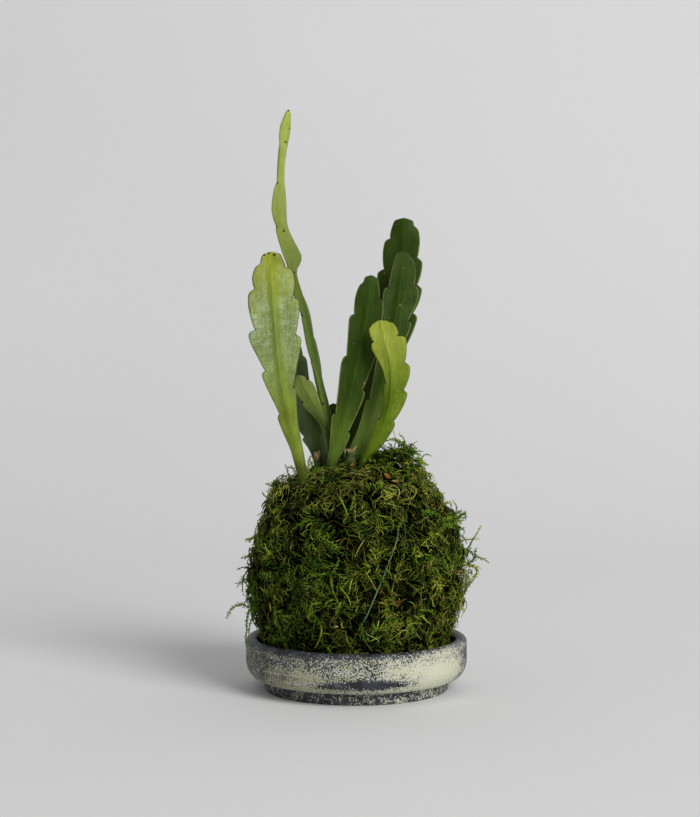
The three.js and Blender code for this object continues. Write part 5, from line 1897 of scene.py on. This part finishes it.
def scattered_bits(count, seed):
    """Flakes at random places all over the ball."""
    d = SCATTERED
    random = np.random.default_rng(seed)
    root = roots(count, seed, -1.0)
    number = len(root["tint"])
    way = unit(root["lean"] + random.uniform(*d["slope"], (number, 1)) * root["out"])
    across = unit(np.cross(way, root["out"]) + random.normal(0, d["roll"], (number, 3)))
    across = square_to(across, way)
    start = root["at"] + root["out"] * (0.6 * root["rise"][:, None] + d["over"])
    length, width = random.uniform(*d["length"], number), random.uniform(*d["width"], number)
    return flat_bits(start, way, across, length, width, root["tint"])


# Along a stump, as shares of its height, and how wide it is there, as shares of its radius
STUMP_ALONG = np.array([0, 0.05, 0.6, 0.9, 0.97, 1.0, 1.0, 0.985])
STUMP_WIDE = np.array([1.15, 1.1, 1.0, 0.96, 0.9, 0.7, 0.45, 0.2])
STUMP_SIDES = 12
# The foot and the top of each stump, its radius, and the share of its height where it turns dry
STUMPS = [
    ((-21, -3.5, 116), (-21.2, -4.6, 128.6), 1.8, 0.76),
    ((-4.2, -7.4, 116), (-2.6, -8.4, 130.6), 3.2, 0.96),
]


def stump_surface(foot, top, radius, dry_from):
    """A stub with twelve sides, a little narrower upwards, whose rim is rounded and uneven."""
    foot, top = np.array(foot, float), np.array(top, float)
    line = foot + (top - foot) * np.concatenate([[-0.02], STUMP_ALONG, [0.98]])[:, None]
    angles = full_turn(STUMP_SIDES)
    rim = 0.35 * np.cos(2 * angles) + 0.3 * np.cos(angles)
    circle = np.stack([np.cos(angles), np.sin(angles), rim], axis=-1)
    rings = line[1:-1, None] + (STUMP_WIDE * radius)[:, None, None] * circle
    points = closed_rings(line[0], rings, line[-1])
    share = np.concatenate([[0], np.repeat(STUMP_ALONG, STUMP_SIDES), [1]])
    cut = smoothstep(share, dry_from - 0.06, dry_from + 0.06)
    return points, ring_faces(len(STUMP_ALONG), STUMP_SIDES), {"cut": cut}


def stump_material():
    """Green at the side, and tan with ragged edges where the cut has dried."""
    material, tree, shader = new_material("cut_stump")
    place = object_place(tree)
    fibre = noise(tree, place, 0.8, detail=3)
    patches = noise(tree, place, 2.5, detail=2)
    green = mix(tree, fade(tree, patches, 0.35, 0.65), linear(50, 68, 24), linear(84, 98, 50))
    dry = mix(tree, fade(tree, fibre, 0.35, 0.65), linear(124, 96, 60), linear(186, 162, 120))
    ragged = plus(tree, attribute(tree, "cut"), fade(tree, fibre, 0, 1, -0.2, 0.2))
    colour = mix(tree, fade(tree, ragged, 0.45, 0.7), green, dry)
    looks = {"Base Color": colour, "Roughness": 0.75, "Specular IOR Level": 0.2}
    finish_shader(tree, shader, looks, fibre, depth=0.2)
    return material


stumps = join([stump_surface(*stump) for stump in STUMPS])
build_piece("cut_stumps", stumps, stump_material(), ["stem_dark_right"])
grow("broad_leaves", placed_bits(BROAD_LEAVES, 3.4), "green")
grow("dry_flakes", join([placed_bits(FRONT_FLAKES, 3.8), scattered_bits(80, 610)]), "dry")

# %% [markdown]
# ## Floor and light
# The photograph was taken in a studio: a pale sheet that sweeps up behind the plant, and one large soft
# light from the front right, which throws a broad shadow to the left. The rest of the room fills the
# shadows. The sheet is a flat floor, a quarter circle and a wall, carried sideways.

# %% Floor and light
SHEET = {"front": -1600, "bend": 480, "radius": 1100, "top": 3200, "half_width": 2600, "columns": 9}


def sheet_surface():
    """The sheet's outline carried from left to right."""
    d = SHEET
    bend = arc((d["bend"], d["radius"]), (d["radius"], d["radius"]), -90, 0, 32)
    line = np.concatenate([[[d["front"], 0]], bend, [[d["bend"] + d["radius"], d["top"]]]])
    across = np.linspace(-d["half_width"], d["half_width"], d["columns"])
    grid = np.stack(np.broadcast_arrays(across, line[:, :1], line[:, 1:]), axis=-1)
    number = np.arange(len(line) * d["columns"]).reshape(-1, d["columns"])
    faces = quad_faces(number[:-1, :-1], number[:-1, 1:], number[1:, :-1], number[1:, 1:])
    return grid.reshape(-1, 3), faces


def sheet_material():
    """A pale grey that differs a little from place to place."""
    material, tree, shader = new_material("pale_sheet")
    cloud = noise(tree, object_place(tree), 420, detail=2)
    colour = mix(tree, cloud, (0.76, 0.76, 0.765, 1), (0.80, 0.80, 0.80, 1))
    finish_shader(tree, shader, {"Base Color": colour, "Roughness": 0.9, "Specular IOR Level": 0.1})
    return material


sheet_points, sheet_faces = sheet_surface()
sheet_mesh = bpy.data.meshes.new("sheet")
sheet_mesh.from_pydata((sheet_points * MM).tolist(), [], sheet_faces.tolist())
sheet_mesh.shade_smooth()
sheet_mesh.materials.append(sheet_material())
sheet = add_object("sheet", sheet_mesh)

KEY = {"azimuth": 40, "elevation": 33, "distance": 5000, "size": 2800, "power": 178, "aim": 110}
ROOM_LIGHT = 0.345

key_data = bpy.data.lights.new("key", "AREA")
key_data.shape = "DISK"
key_data.size = KEY["size"] * MM
key_data.energy = KEY["power"]
key = add_object("key", key_data)
azimuth, elevation = math.radians(KEY["azimuth"]), math.radians(KEY["elevation"])
level, up = KEY["distance"] * math.cos(elevation), KEY["distance"] * math.sin(elevation)
key_place = (level * math.sin(azimuth), -level * math.cos(azimuth), KEY["aim"] + up)
key.location = [value * MM for value in key_place]
key.rotation_euler = (math.pi / 2 - elevation, 0, azimuth)

world = bpy.data.worlds.new("room")
world.use_nodes = True
background = world.node_tree.nodes["Background"]
background.inputs["Color"].default_value = (1, 1, 1, 1)
background.inputs["Strength"].default_value = ROOM_LIGHT
bpy.context.scene.world = world
bpy.context.scene.view_settings.view_transform = "Standard"
